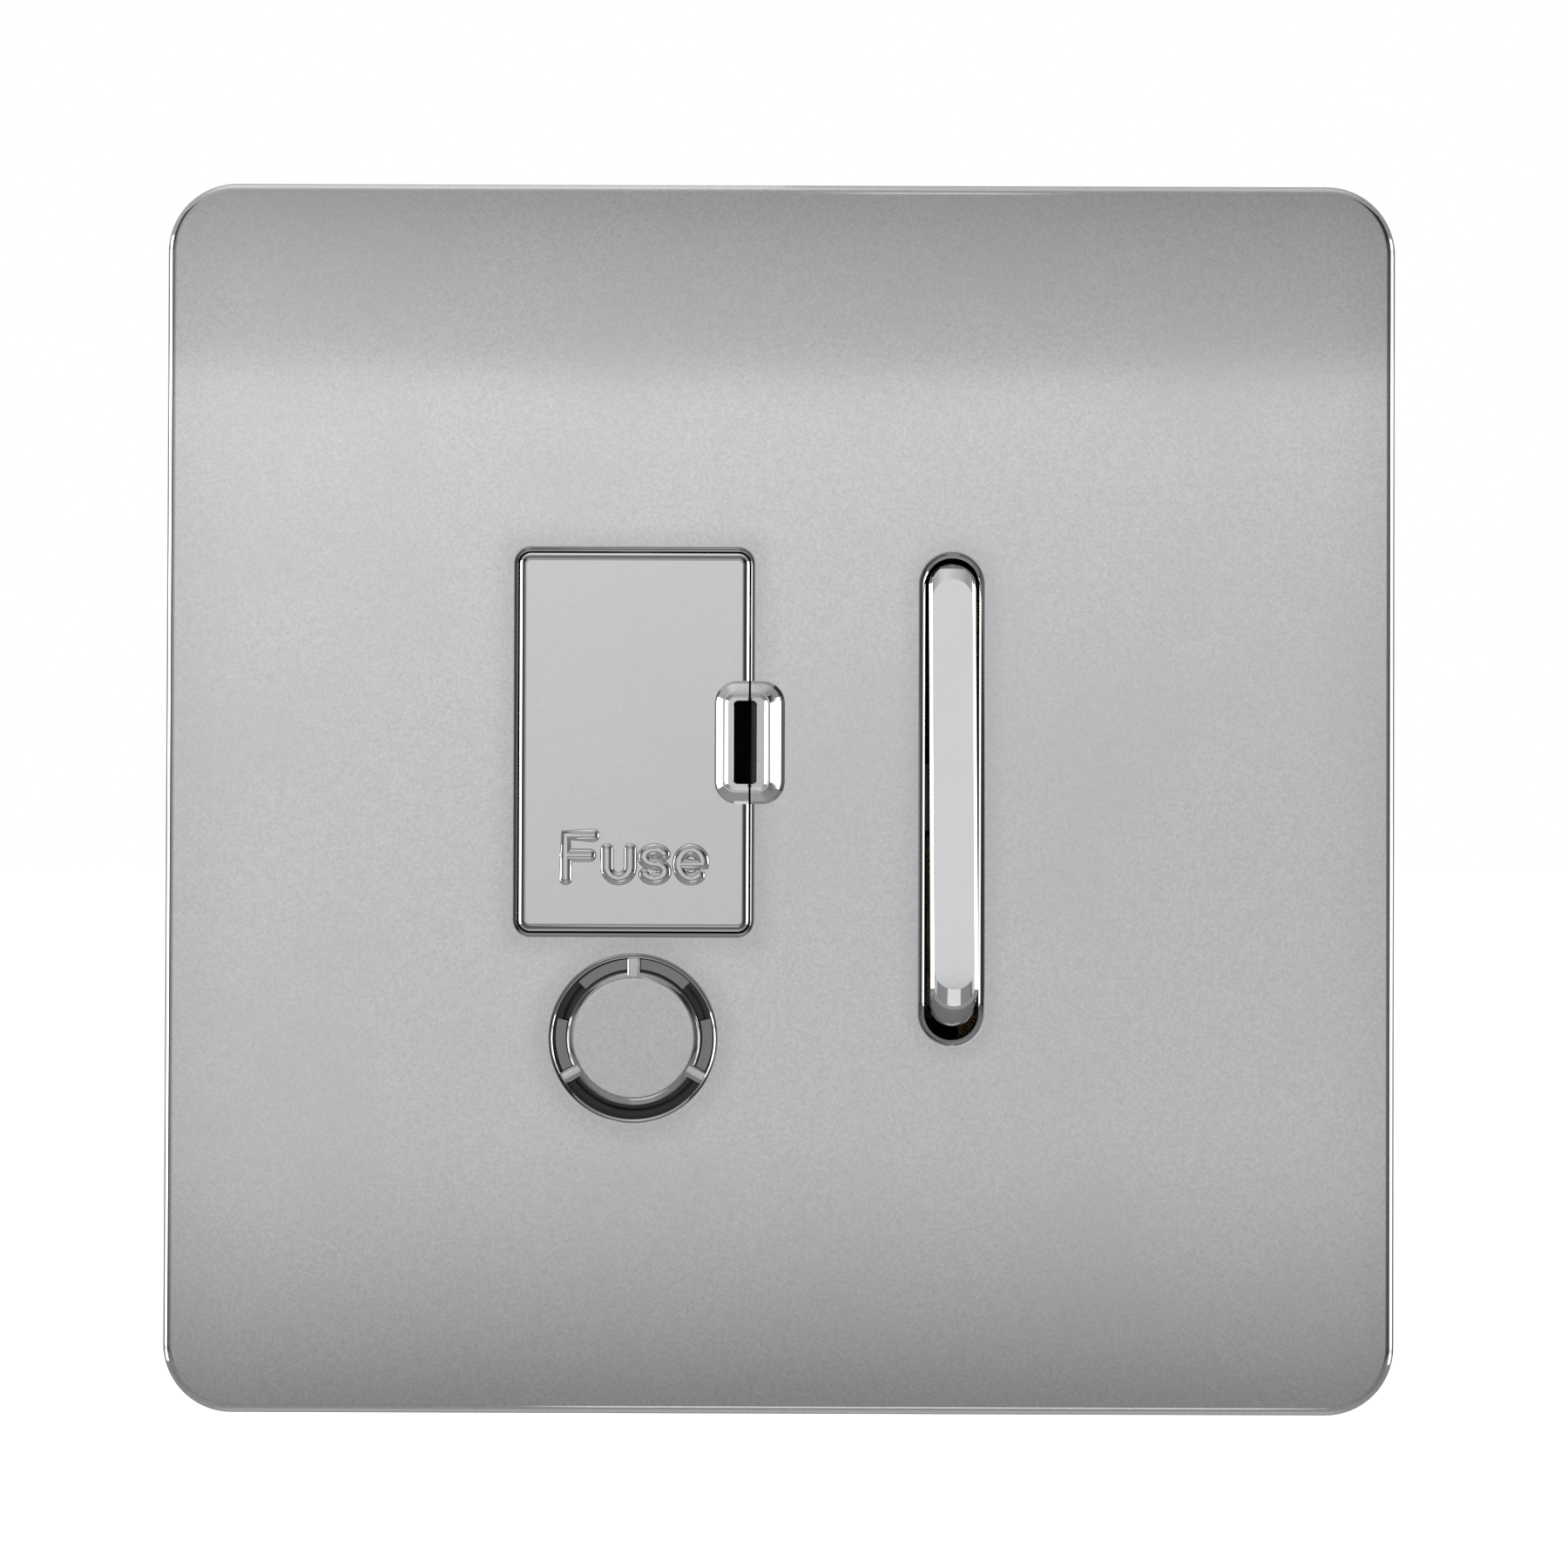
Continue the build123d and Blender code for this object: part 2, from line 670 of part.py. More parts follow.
def fold_flange(frame, side):
    """Folds one edge of the sheet forward between two relief notches, with windows for the plate's clips."""
    edge = side * frame_h / 2
    inner = edge - side * frame_thick
    half = frame_w / 2 - 2 * frame_corner_r
    for notch_x in (-half - frame_relief / 2, half + frame_relief / 2):
        notch_z = sorted((edge, inner - side * frame_relief))
        frame -= block(span(notch_x, frame_relief / 2), (-frame_thick, 0), notch_z)
    flange = block(span(0, half), (-frame_flange, 0), sorted((edge, inner)))
    middle = -frame_thick - (frame_flange - frame_thick) / 2
    for x in (-clip_tab_x, clip_tab_x):
        window_x = span(x, clip_tab_w / 2 + clip_tab_gap)
        flange -= block(window_x, span(middle, clip_barb / 2 + clip_tab_gap), sorted((edge, inner)))
    frame += flange
    folds = frame.edges().filter_by(Axis.X).filter_by_position(Axis.X, -half / 2, half / 2)
    inside = folds.filter_by_position(Axis.Y, *span(-frame_thick, pick_room))
    frame = fillet(inside.filter_by_position(Axis.Z, *span(inner, pick_room)), frame_bend_r)
    folds = frame.edges().filter_by(Axis.X).filter_by_position(Axis.X, -half / 2, half / 2)
    outside = folds.filter_by_position(Axis.Y, *span(0, pick_room))
    return fillet(outside.filter_by_position(Axis.Z, *span(edge, pick_room)), frame_bend_r + frame_thick)


def mounting_frame():
    """Folded steel plate: fixing slots, a window for the module, and two flanges for the plate's clips."""
    frame = prism(RectangleRounded(frame_w, frame_h, frame_corner_r), 0, 0, (-frame_thick, 0))
    for side in (-1, 1):
        frame = fold_flange(frame, side)
    window_z = span(0, terminal_inner_z - bar_thick)
    frame -= block(span(0, module_w / 2 - frame_lip), (-frame_thick, 0), window_z)
    frame -= rod_y(outlet_r + 2 * tunnel_wall, outlet_x, (-frame_thick, 0), outlet_z)
    for side in (-1, 1):
        slot = SlotOverall(fixing_slot_len, fixing_slot_w)
        frame -= prism(slot, side * fixing_centres / 2, 0, (-frame_thick, 0))
    for x, z in columns:
        frame -= rod_y(screw_r + fit_gap, x, (-frame_thick, 0), z)
    return frame


def rocker_bearing(side):
    """Rib with a snap-in bearing for one trunnion, open towards the back."""
    inner = hub_len / 2 + 2 * fit_gap
    x = sorted((rocker_x + side * inner, rocker_x + side * (inner + bearing_wall)))
    back = pivot_y + 2 * trunnion_r
    rib = block(x, (skin_back, back), span(0, 2 * trunnion_r))
    rib -= rod_x(trunnion_r + running_gap, x, pivot_y, 0)
    return rib - block(x, (pivot_y, back), span(0, 0.8 * trunnion_r))


def front_cover():
    cover = prism(RectangleRounded(module_w, module_h, module_r), 0, 0, (cover_front, cover_back))
    cover = fillet(front_edges(cover), cover_skin / 3)
    inner = Rectangle(module_w - 2 * cover_wall, module_h - 2 * cover_wall)
    cover -= prism(inner, 0, 0, (skin_back, cover_back))
    guide = Rectangle(door_w + 2 * (door_gap + cover_wall), door_h + 2 * (door_gap + cover_wall))
    cover += prism(guide, door_x, door_z, (skin_back, cover_back))
    cover += rod_y(outlet_r + tunnel_wall, outlet_x, (skin_back, cover_back), outlet_z)
    for x, z in columns:
        cover += rod_y(column_r, x, (skin_back, cover_back), z)
    cover -= door_opening((cover_front, cover_back))
    cover -= rocker_opening(rocker_opening_r, (cover_front, cover_back))
    hub_z = span(0, hub_r + 2 * fit_gap)
    cover -= block(span(rocker_x, hub_len / 2 + 2 * fit_gap), (cover_front, cover_back), hub_z)
    for side in (-1, 1):
        cover += rocker_bearing(side)
    cover -= rod_y(outlet_r, outlet_x, (skin_back, cover_back), outlet_z)
    step_r = outlet_r - outlet_ring / 2
    cover -= rod_y(step_r, outlet_x, (cover_front, cover_front + outlet_floor_step), outlet_z)
    for x, z in columns:
        cover -= rod_y(screw_r + screw_hole_gap, x, (cover_back - screw_bite, cover_back), z)
    return cover


def step_edges():
    """Right and top edges of the shallow corner round the flex outlet."""
    return column_bottom_x - column_r, door_z - door_h / 2 - 2 * door_gap - housing_wall


def housing_shell():
    shell = prism(RectangleRounded(module_w, module_h, module_r), 0, 0, (0, housing_depth))
    shell = fillet(back_edges(shell), housing_edge_r)
    step_x, step_z = step_edges()
    far = module_w
    shell -= block((-far, step_x), (step_depth, far), (-far, step_z))
    inner_w = module_w - 2 * housing_wall
    inner_h = module_h - 2 * housing_wall
    cavity = prism(Rectangle(inner_w, inner_h), 0, 0, (0, housing_floor))
    step_y = (step_depth - housing_wall, far)
    behind_step = block((-far, step_x + housing_wall), step_y, (-far, step_z + housing_wall))
    return shell - (cavity - behind_step)


def terminal_pockets():
    pockets = []
    y = (terminal_front - fit_gap, terminal_back + fit_gap)
    for x, side, width, wires in terminals.values():
        z = sorted((side * (terminal_inner_z - fit_gap), side * module_h / 2))
        pockets.append(block(span(x, width / 2 + fit_gap), y, z))
    return pockets


def terminal_rests(x, width, side):
    """Two ribs on the housing floor that a terminal sits on."""
    ribs = []
    for edge in (-1, 1):
        outer = x + edge * width / 2
        rib_x = sorted((outer, outer - edge * screw_slot))
        z = sorted((side * terminal_inner_z, side * (module_h / 2 - housing_wall)))
        ribs.append(block(rib_x, (terminal_back, housing_floor), z))
    return ribs


def rear_housing():
    housing = housing_shell()
    step_x, step_z = step_edges()
    housing += rod_y(outlet_r + tunnel_wall, outlet_x, (0, step_depth), outlet_z)
    divider_x = carrier_right + stop_lug + fit_gap
    divider_z = (step_z, terminal_inner_z - bar_thick)
    housing += block((divider_x, divider_x + cover_wall), (0, link_y - bar_thick), divider_z)
    for x, z in columns:
        housing += rod_y(column_r, x, (0, step_depth if x < step_x else housing_depth), z)
    for pocket in terminal_pockets():
        housing -= pocket
    for x, side, width, wires in terminals.values():
        for rib in terminal_rests(x, width, side):
            housing += rib
    for x, z in terminal_screw_places():
        housing -= rod_y(terminal_screw_head_r + 2 * fit_gap, x, (terminal_back, housing_depth), z)
    boss_back = step_depth + clamp_boss_h
    for side in (-1, 1):
        x = outlet_x + side * clamp_half_span
        housing += rod_y(clamp_boss_r, x, (step_depth, boss_back), clamp_z)
        housing -= rod_y(screw_r + screw_hole_gap, x, (step_depth - housing_wall, boss_back), clamp_z)
    housing -= rod_y(outlet_r, outlet_x, (0, step_depth), outlet_z)
    for x, z in columns:
        housing -= rod_y(screw_r + screw_hole_gap, x, (0, screw_seat_y), z)
        housing -= rod_y(screw_head_r + fit_gap, x, (screw_seat_y, housing_depth), z)
    return housing


def pan_screw(x, seat, tip, z):
    """Pan-head screw driven from the back, with a straight slot."""
    top = seat + screw_head_h
    screw = rod_y(screw_r, x, (tip, seat), z) + rod_y(screw_head_r, x, (seat, top), z)
    return screw - block(span(x, screw_head_r), (top - screw_slot, top), span(z, screw_slot / 2))


def housing_screws():
    tip = cover_back - screw_bite + fit_gap
    return Compound(children=[pan_screw(x, screw_seat_y, tip, z) for x, z in columns])


def cord_clamp():
    """Arched bar across the flex behind the outlet."""
    y = (step_depth + clamp_boss_h, step_depth + clamp_boss_h + clamp_thick)
    half = clamp_half_span + clamp_boss_r
    bar = prism(SlotOverall(2 * half, clamp_w), outlet_x, clamp_z, y)
    arch_r = 1.5 * clamp_half_span
    bar -= rod_z(arch_r, outlet_x, y[0] + clamp_thick / 2 - arch_r, span(clamp_z, clamp_w))
    for side in (-1, 1):
        bar -= rod_y(screw_r + screw_hole_gap, outlet_x + side * clamp_half_span, y, clamp_z)
    return bar


def cord_clamp_screws():
    seat = step_depth + clamp_boss_h + clamp_thick
    tip = step_depth - housing_wall + fit_gap
    places = [outlet_x + side * clamp_half_span for side in (-1, 1)]
    return Compound(children=[pan_screw(x, seat, tip, clamp_z) for x in places])


nodes = {
    "front_plate": front_plate(),
    "mounting_frame": mounting_frame(),
    "front_cover": front_cover(),
    "rear_housing": rear_housing(),
    "housing_screws": housing_screws(),
    **{name: terminal(*place) for name, place in terminals.items()},
    "terminal_screws": terminal_screws(),
    "earth_strap": earth_strap(),
    "live_link": live_link(),
    "load_live_bar": load_live_bar(),
    "load_neutral_bar": load_neutral_bar(),
    "fixed_contact_tips": fixed_contact_tips(),
    "live_pivot_bracket": pivot_bracket(live_x),
    "neutral_pivot_bracket": pivot_bracket(neutral_x),
    "upper_fuse_clip": fuse_clip(1),
    "lower_fuse_clip": fuse_clip(-1),
    "cord_clamp": cord_clamp(),
    "cord_clamp_screws": cord_clamp_screws(),
    "fuse_door": fuse_door(),
    "fuse_carrier": fuse_carrier(),
    "fuse_tube": fuse_tube(),
    "fuse_caps": fuse_caps(),
    "rocker_cap": at_rest(rocker_cap()),
    "rocker_hub": at_rest(rocker_hub()),
    "live_plunger": at_rest(plunger(live_x)),
    "neutral_plunger": at_rest(plunger(neutral_x)),
    "live_plunger_spring": at_rest(plunger_spring(live_x)),
    "neutral_plunger_spring": at_rest(plunger_spring(neutral_x)),
    "live_contact_blade": contact_blade(live_x),
    "neutral_contact_blade": contact_blade(neutral_x),
    "live_contact_tip": contact_tip(live_x),
    "neutral_contact_tip": contact_tip(neutral_x),
}

os.makedirs("parts", exist_ok=True)
for name, shape in nodes.items():
    export_step(shape, f"parts/{name}.step")
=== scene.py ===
import json
import math

import bmesh
import bpy
from mathutils import Matrix, Vector


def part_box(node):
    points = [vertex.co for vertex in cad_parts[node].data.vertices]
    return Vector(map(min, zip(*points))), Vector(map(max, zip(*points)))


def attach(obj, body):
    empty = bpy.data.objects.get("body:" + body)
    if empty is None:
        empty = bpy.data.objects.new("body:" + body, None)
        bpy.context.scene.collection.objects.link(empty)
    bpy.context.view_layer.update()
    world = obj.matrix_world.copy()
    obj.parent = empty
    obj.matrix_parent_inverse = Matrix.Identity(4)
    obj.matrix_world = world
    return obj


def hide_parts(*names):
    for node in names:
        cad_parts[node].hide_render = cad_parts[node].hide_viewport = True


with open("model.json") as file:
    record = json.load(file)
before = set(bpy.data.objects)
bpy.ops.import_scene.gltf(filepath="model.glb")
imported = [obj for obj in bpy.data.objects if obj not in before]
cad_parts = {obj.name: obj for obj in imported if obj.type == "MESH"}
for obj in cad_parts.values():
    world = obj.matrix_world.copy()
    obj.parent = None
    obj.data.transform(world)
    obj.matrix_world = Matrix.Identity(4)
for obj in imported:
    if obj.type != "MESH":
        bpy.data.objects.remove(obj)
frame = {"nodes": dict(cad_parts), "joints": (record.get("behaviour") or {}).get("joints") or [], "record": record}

mm = 0.001  # pieces are modelled in millimetres and brought to metres when they are finished
scene = bpy.context.scene
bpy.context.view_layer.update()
print("frame loaded,", len(frame["nodes"]), "nodes")

# Small measures that the modelling goes by, in millimetres
fine = {
    "weld": 0.0005,         # points of a finished piece that are nearer than this become one
    "sliver": 0.0002,       # shorter edges are dissolved
    "cornerWeld": 0.004,    # the weld of a block with rounded corners
    "endGap": 0.001,        # left between the two corners of a round end
    "onLevel": 0.002,       # how far off a level a point may be
    "skin": 0.002,          # how far under a face a cutter's profile starts
    "past": 1.0,            # how far a cutter goes past the wall
}
squareOn = {"about": 0.99, "exactly": 0.9999}       # part of a normal along Y where a face looks front or back


# Modelling helpers, all in millimetres, with the front facing -Y

def nodeBox(node):
    low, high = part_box(node)
    return low / mm, high / mm


def moveBy(bm, x=0, y=0, z=0):
    bmesh.ops.translate(bm, vec=(x, y, z), verts=bm.verts)
    return bm


def wholeOf(bm):
    return bm.verts[:] + bm.edges[:] + bm.faces[:]


def bevelEdges(bm, edges, radius, segments):
    bmesh.ops.bevel(bm, geom=edges, offset=radius, offset_type='OFFSET', segments=segments, profile=0.5,
                    affect='EDGES', material=-1, loop_slide=False)


def plainBlock(width, depth, height):
    bm = bmesh.new()
    bmesh.ops.create_cube(bm, size=1)
    bmesh.ops.scale(bm, vec=(width, depth, height), verts=bm.verts)
    return bm


def roundedBlock(width, height, radius, segments, front, back):
    bm = moveBy(plainBlock(width, back - front, height), y=(front + back) / 2)
    corners = [e for e in bm.edges if abs(e.verts[0].co.y - e.verts[1].co.y) > (back - front) / 2]
    bevelEdges(bm, corners, radius, segments)
    bmesh.ops.remove_doubles(bm, verts=bm.verts, dist=fine["cornerWeld"])
    return bm


def stadiumBlock(width, length, segments, front, back):
    return roundedBlock(width, length, width / 2 - fine["endGap"], segments, front, back)


def roundBar(radius, segments, front, back):
    bm = bmesh.new()
    bmesh.ops.create_cone(bm, cap_ends=True, segments=segments, radius1=radius, radius2=radius, depth=back - front)
    bmesh.ops.rotate(bm, cent=(0, 0, 0), matrix=Matrix.Rotation(math.pi / 2, 3, 'X'), verts=bm.verts)
    return moveBy(bm, y=(front + back) / 2)


def largestFacing(bm, way):
    facing = [f for f in bm.faces if f.normal.y * way > squareOn["about"]]
    return max(facing, key=lambda f: f.calc_area())


def frontFace(bm):
    return largestFacing(bm, -1)


def backFace(bm):
    return largestFacing(bm, 1)


def insetFace(bm, face, thickness, depth):
    bmesh.ops.inset_region(bm, faces=[face], thickness=thickness, depth=depth, use_even_offset=True)


def sinkFace(bm, face, depth):
    made = bmesh.ops.extrude_discrete_faces(bm, faces=[face])["faces"][0]
    bmesh.ops.translate(bm, vec=(0, depth, 0), verts=made.verts)
    return made


turnedEdge = {"arcSteps": 6, "steeper": 5}      # steps in the arc, degrees by which the chamfer is steeper than its end


def edgeSteps(edge):
    # (across, drop) from the flat towards the wall: an arc that turns down, then a narrow chamfer
    count = turnedEdge["arcSteps"]
    turns = [math.radians(edge["turn"]) * step / count for step in range(count + 1)]
    steps = []
    for start, end in zip(turns, turns[1:]):
        across = edge["radius"] * (math.sin(end) - math.sin(start))
        steps.append((across, edge["radius"] * (math.cos(start) - math.cos(end))))
    chamferTurn = math.radians(edge["turn"] + turnedEdge["steeper"])
    return steps + [(edge["chamfer"], edge["chamfer"] * math.tan(chamferTurn))]


def edgeWidth(edge):
    return sum(across for across, drop in edgeSteps(edge))


def edgeDrop(edge):
    return sum(drop for across, drop in edgeSteps(edge))


def crownFront(bm, edge):
    # a solid's front face, drawn in and up by the profile
    for across, drop in reversed(edgeSteps(edge)):
        insetFace(bm, frontFace(bm), across, drop)
    return bm


def taperBack(bm, edge, depth):
    # a cutter's back face, drawn in by the profile and then straight on through the wall
    for across, drop in edgeSteps(edge):
        insetFace(bm, backFace(bm), across, drop)
    sinkFace(bm, backFace(bm), depth)
    return bm


def sliceAt(bm, x, keepLeft):
    cut = bmesh.ops.bisect_plane(bm, geom=wholeOf(bm), plane_co=(x, 0, 0), plane_no=(1, 0, 0),
                                 clear_outer=keepLeft, clear_inner=not keepLeft)
    cutEdges = [g for g in cut["geom_cut"] if isinstance(g, bmesh.types.BMEdge)]
    bmesh.ops.holes_fill(bm, edges=cutEdges, sides=0)
    bmesh.ops.recalc_face_normals(bm, faces=bm.faces)
    return bm


def scoreFront(bm, axis, place, inside):
    # splits the flat front face along a line, so that no face has to hold a hole
    flat = [f for f in bm.faces if -f.normal.y > squareOn["exactly"]]
    faces = [f for f in flat if inside(f.calc_center_median())]
    edges = dict.fromkeys(e for f in faces for e in f.edges)
    verts = dict.fromkeys(v for f in faces for v in f.verts)
    along = Vector((1, 0, 0)) if axis == 'X' else Vector((0, 0, 1))
    bmesh.ops.bisect_plane(bm, geom=[*faces, *edges, *verts], plane_co=along * place, plane_no=along)


def toObject(bm, name):
    mesh = bpy.data.meshes.new(name)
    bm.to_mesh(mesh)
    bm.free()
    piece = bpy.data.objects.new(name, mesh)
    scene.collection.objects.link(piece)
    return piece


def applyModifiers(piece):
    bpy.context.view_layer.update()
    graph = bpy.context.evaluated_depsgraph_get()
    mesh = bpy.data.meshes.new_from_object(piece.evaluated_get(graph), depsgraph=graph)
    piece.modifiers.clear()
    piece.data = mesh
    mesh.name = piece.name


def combine(piece, tool, operation):
    other = toObject(tool, "tool")
    modifier = piece.modifiers.new("combine", 'BOOLEAN')
    modifier.operation = operation
    modifier.solver = 'EXACT'
    modifier.object = other
    applyModifiers(piece)
    bpy.data.objects.remove(other)


def meshOf(piece):
    bm = bmesh.new()
    bm.from_mesh(piece.data)
    return bm


def putBack(bm, piece):
    bm.to_mesh(piece.data)
    bm.free()


def cornerEdges(bm, level, inside):
    # edges between a face on this level and a wall behind it
    leastTurn = 1       # radians
    found = []
    for edge in bm.edges:
        middle = (edge.verts[0].co + edge.verts[1].co) / 2
        flat = all(abs(v.co.y - level) < fine["onLevel"] for v in edge.verts)
        if flat and len(edge.link_faces) == 2 and edge.calc_face_angle() > leastTurn and inside(middle):
            found.append(edge)
    return found


def finishPiece(piece, name, body, slotName, *nodes, sharp):
    # welds the mesh, brings it to metres, and keeps edges sharp that turn by more degrees than the last value
    bm = meshOf(piece)
    bmesh.ops.remove_doubles(bm, verts=bm.verts, dist=fine["weld"])
    bmesh.ops.dissolve_degenerate(bm, edges=bm.edges, dist=fine["sliver"])
    bmesh.ops.scale(bm, vec=(mm, mm, mm), verts=bm.verts)
    for face in bm.faces:
        face.smooth = True
    for edge in bm.edges:
        edge.smooth = len(edge.link_faces) == 2 and edge.calc_face_angle() < math.radians(sharp)
    putBack(bm, piece)
    piece.name = name
    weighted = piece.modifiers.new("weighted normals", 'WEIGHTED_NORMAL')
    weighted.keep_sharp = True
    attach(piece, body)
    if nodes:
        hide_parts(*nodes)
    piece.data.materials.append(finishes[slotName])
    print(name, len(piece.data.polygons), "faces")
    return piece


# Material helpers

def addNode(tree, kind, **values):
    node = tree.nodes.new(kind)
    for name, value in values.items():
        node.inputs[name.replace("_", " ")].default_value = value
    return node


def addRamp(tree, stops, smooth=False):
    ramp = tree.nodes.new("ShaderNodeValToRGB")
    ramp.color_ramp.interpolation = 'EASE' if smooth else 'LINEAR'
    while len(ramp.color_ramp.elements) < len(stops):
        ramp.color_ramp.elements.new(0.5)
    for element, (place, value) in zip(ramp.color_ramp.elements, stops):
        element.position = place
        element.color = (*value, 1) if isinstance(value, tuple) else (value, value, value, 1)
    return ramp


def shaded(colour, factor):
    return tuple(min(channel * factor, 1) for channel in colour)


def mathNode(tree, operation, first, second=None):
    node = tree.nodes.new("ShaderNodeMath")
    node.operation = operation
    for socket, value in zip(node.inputs, (first, second)):
        if hasattr(value, "is_linked"):
            tree.links.new(value, socket)
        elif value is not None:
            socket.default_value = value
    return node.outputs["Value"]


def mixColours(tree, factor, first, second):
    mix = tree.nodes.new("ShaderNodeMix")
    mix.data_type = 'RGBA'
    tree.links.new(factor, mix.inputs["Factor"])
    tree.links.new(first, mix.inputs["A"])
    mix.inputs["B"].default_value = (*second, 1)
    return mix.outputs["Result"]


def rangeNode(tree, value, start, end, low=0, high=1, smooth=False):
    node = addNode(tree, "ShaderNodeMapRange", From_Min=start, From_Max=end, To_Min=low, To_Max=high)
    if smooth:
        node.interpolation_type = 'SMOOTHERSTEP'
    tree.links.new(value, node.inputs["Value"])
    return node.outputs["Result"]


def splitPlace(tree, place):
    split = tree.nodes.new("ShaderNodeSeparateXYZ")
    tree.links.new(place.outputs["Object"], split.inputs["Vector"])
    return split


def distanceFrom(tree, split, area):
    # how far a point lies outside an area's upright rectangle
    beyond = []
    for axis, centre, reach in zip("XZ", area["middle"], area["half"]):
        off = mathNode(tree, 'ABSOLUTE', mathNode(tree, 'SUBTRACT', split.outputs[axis], centre))
        out = mathNode(tree, 'MAXIMUM', mathNode(tree, 'SUBTRACT', off, reach), 0)
        beyond.append(mathNode(tree, 'POWER', out, 2))
    return mathNode(tree, 'SQRT', mathNode(tree, 'ADD', *beyond))


def dullingAndPaintedShade(tree, place, dullingAndShade, colour):
    # darkens the colour layer by layer with depth behind the front, apart from the areas that are spared: painted dark
    # reflection lines where edges start to roll, and painted shade in grooves and walls, there together with duller
    # plating
    split = splitPlace(tree, place)
    for layer in dullingAndShade:
        factor = rangeNode(tree, split.outputs["Y"], *layer["depth"])
        for area in layer["spared"]:
            outside = distanceFrom(tree, split, area)
            factor = mathNode(tree, 'MULTIPLY', factor, rangeNode(tree, outside, *area["edge"]))
        colour = mixColours(tree, factor, colour, layer["colour"])
    return colour


def paintOpeningShade(tree, place, openingShade, colour):
    # painted shade: the plating darkens a little towards each opening, as shade falls there
    split = splitPlace(tree, place)
    for opening in openingShade["openings"]:
        outside = distanceFrom(tree, split, opening)
        fade = rangeNode(tree, outside, *opening["edge"], low=opening["strength"], high=0, smooth=True)
        colour = mixColours(tree, fade, colour, openingShade["colour"])
    return colour


# What all finishes share: the two noises, and the part of each noise that colours and roughness run over
texture = {
    "grain": dict(Detail=3, Roughness=0.6),
    "cloud": dict(Detail=4, Roughness=0.55),
    "speckleSpan": (0.3, 0.7),
    "tintSpan": (0.42, 0.72),
    "polishSpan": (0.3, 0.7),
    "edgeSamples": 4,
}


def surfaceFinish(name, look):
    material = bpy.data.materials.new(name)
    material.use_nodes = True
    tree = material.node_tree
    shader = tree.nodes["Principled BSDF"]
    shader.inputs["Metallic"].default_value = look["metallic"]
    shader.inputs["Coat Weight"].default_value = look.get("coat", 0)
    place = tree.nodes.new("ShaderNodeTexCoord")
    turned = addNode(tree, "ShaderNodeMapping", Scale=look.get("stretch", (1, 1, 1)))
    grain = addNode(tree, "ShaderNodeTexNoise", Scale=look["grainScale"], **texture["grain"])
    cloud = addNode(tree, "ShaderNodeTexNoise", Scale=look["cloudScale"], **texture["cloud"])
    tree.links.new(place.outputs["Object"], turned.inputs["Vector"])
    tree.links.new(turned.outputs["Vector"], grain.inputs["Vector"])
    tree.links.new(place.outputs["Object"], cloud.inputs["Vector"])
    # colour: the grain lightens and darkens the base, and the clouds pull it towards the tint
    shades = [shaded(look["colour"], factor) for factor in (1 - look["grain"], 1 + look["grain"])]
    speckle = addRamp(tree, list(zip(texture["speckleSpan"], shades)))
    tint = addRamp(tree, list(zip(texture["tintSpan"], (0, look["cloud"]))), smooth=True)
    tree.links.new(grain.outputs["Fac"], speckle.inputs["Fac"])
    tree.links.new(cloud.outputs["Fac"], tint.inputs["Fac"])
    colour = mixColours(tree, tint.outputs["Color"], speckle.outputs["Color"], look["tint"])
    # painted dark reflection lines and painted shade by depth, with duller plating in the grooves
    if "dullingAndShade" in look:
        colour = dullingAndPaintedShade(tree, place, look["dullingAndShade"], colour)
    # painted shade round the openings
    if "openingShade" in look:
        colour = paintOpeningShade(tree, place, look["openingShade"], colour)
    tree.links.new(colour, shader.inputs["Base Color"])
    # roughness wanders with the clouds
    polish = rangeNode(tree, cloud.outputs["Fac"], *texture["polishSpan"], *look["roughness"])
    tree.links.new(polish, shader.inputs["Roughness"])
    # fine relief, over edges softened as the tool or the mould leaves them
    relief = addNode(tree, "ShaderNodeBump", Strength=look["relief"], Distance=look["reliefDepth"])
    tree.links.new(grain.outputs["Fac"], relief.inputs["Height"])
    if look.get("softEdge"):
        edge = addNode(tree, "ShaderNodeBevel", Radius=look["softEdge"])
        edge.samples = texture["edgeSamples"]
        tree.links.new(edge.outputs["Normal"], relief.inputs["Normal"])
    tree.links.new(relief.outputs["Normal"], shader.inputs["Normal"])
    return material


# Places and sizes from the frame
plateLow, plateHigh = nodeBox("front_plate")
doorLow, doorHigh = nodeBox("fuse_door")
rockerLow, rockerHigh = nodeBox("rocker_cap")
frameLow, frameHigh = nodeBox("mounting_frame")
tunnelLow, tunnelHigh = [Vector(c) / mm for c in frame["record"]["physics"]["openings"][0]["box_m"]]
pivot = next(Vector(j["pos_m"]) / mm for j in frame["joints"] if j["name"] == "rocker_tilt")
doorMid = (doorLow + doorHigh) / 2
doorWidth = doorHigh.x - doorLow.x
doorHeight = doorHigh.z - doorLow.z
outletMid = (tunnelLow + tunnelHigh) / 2
doorPlace = (doorMid.x * mm, doorMid.z * mm)
rockerPlace = (pivot.x * mm, pivot.z * mm)
outletPlace = (outletMid.x * mm, outletMid.z * mm)


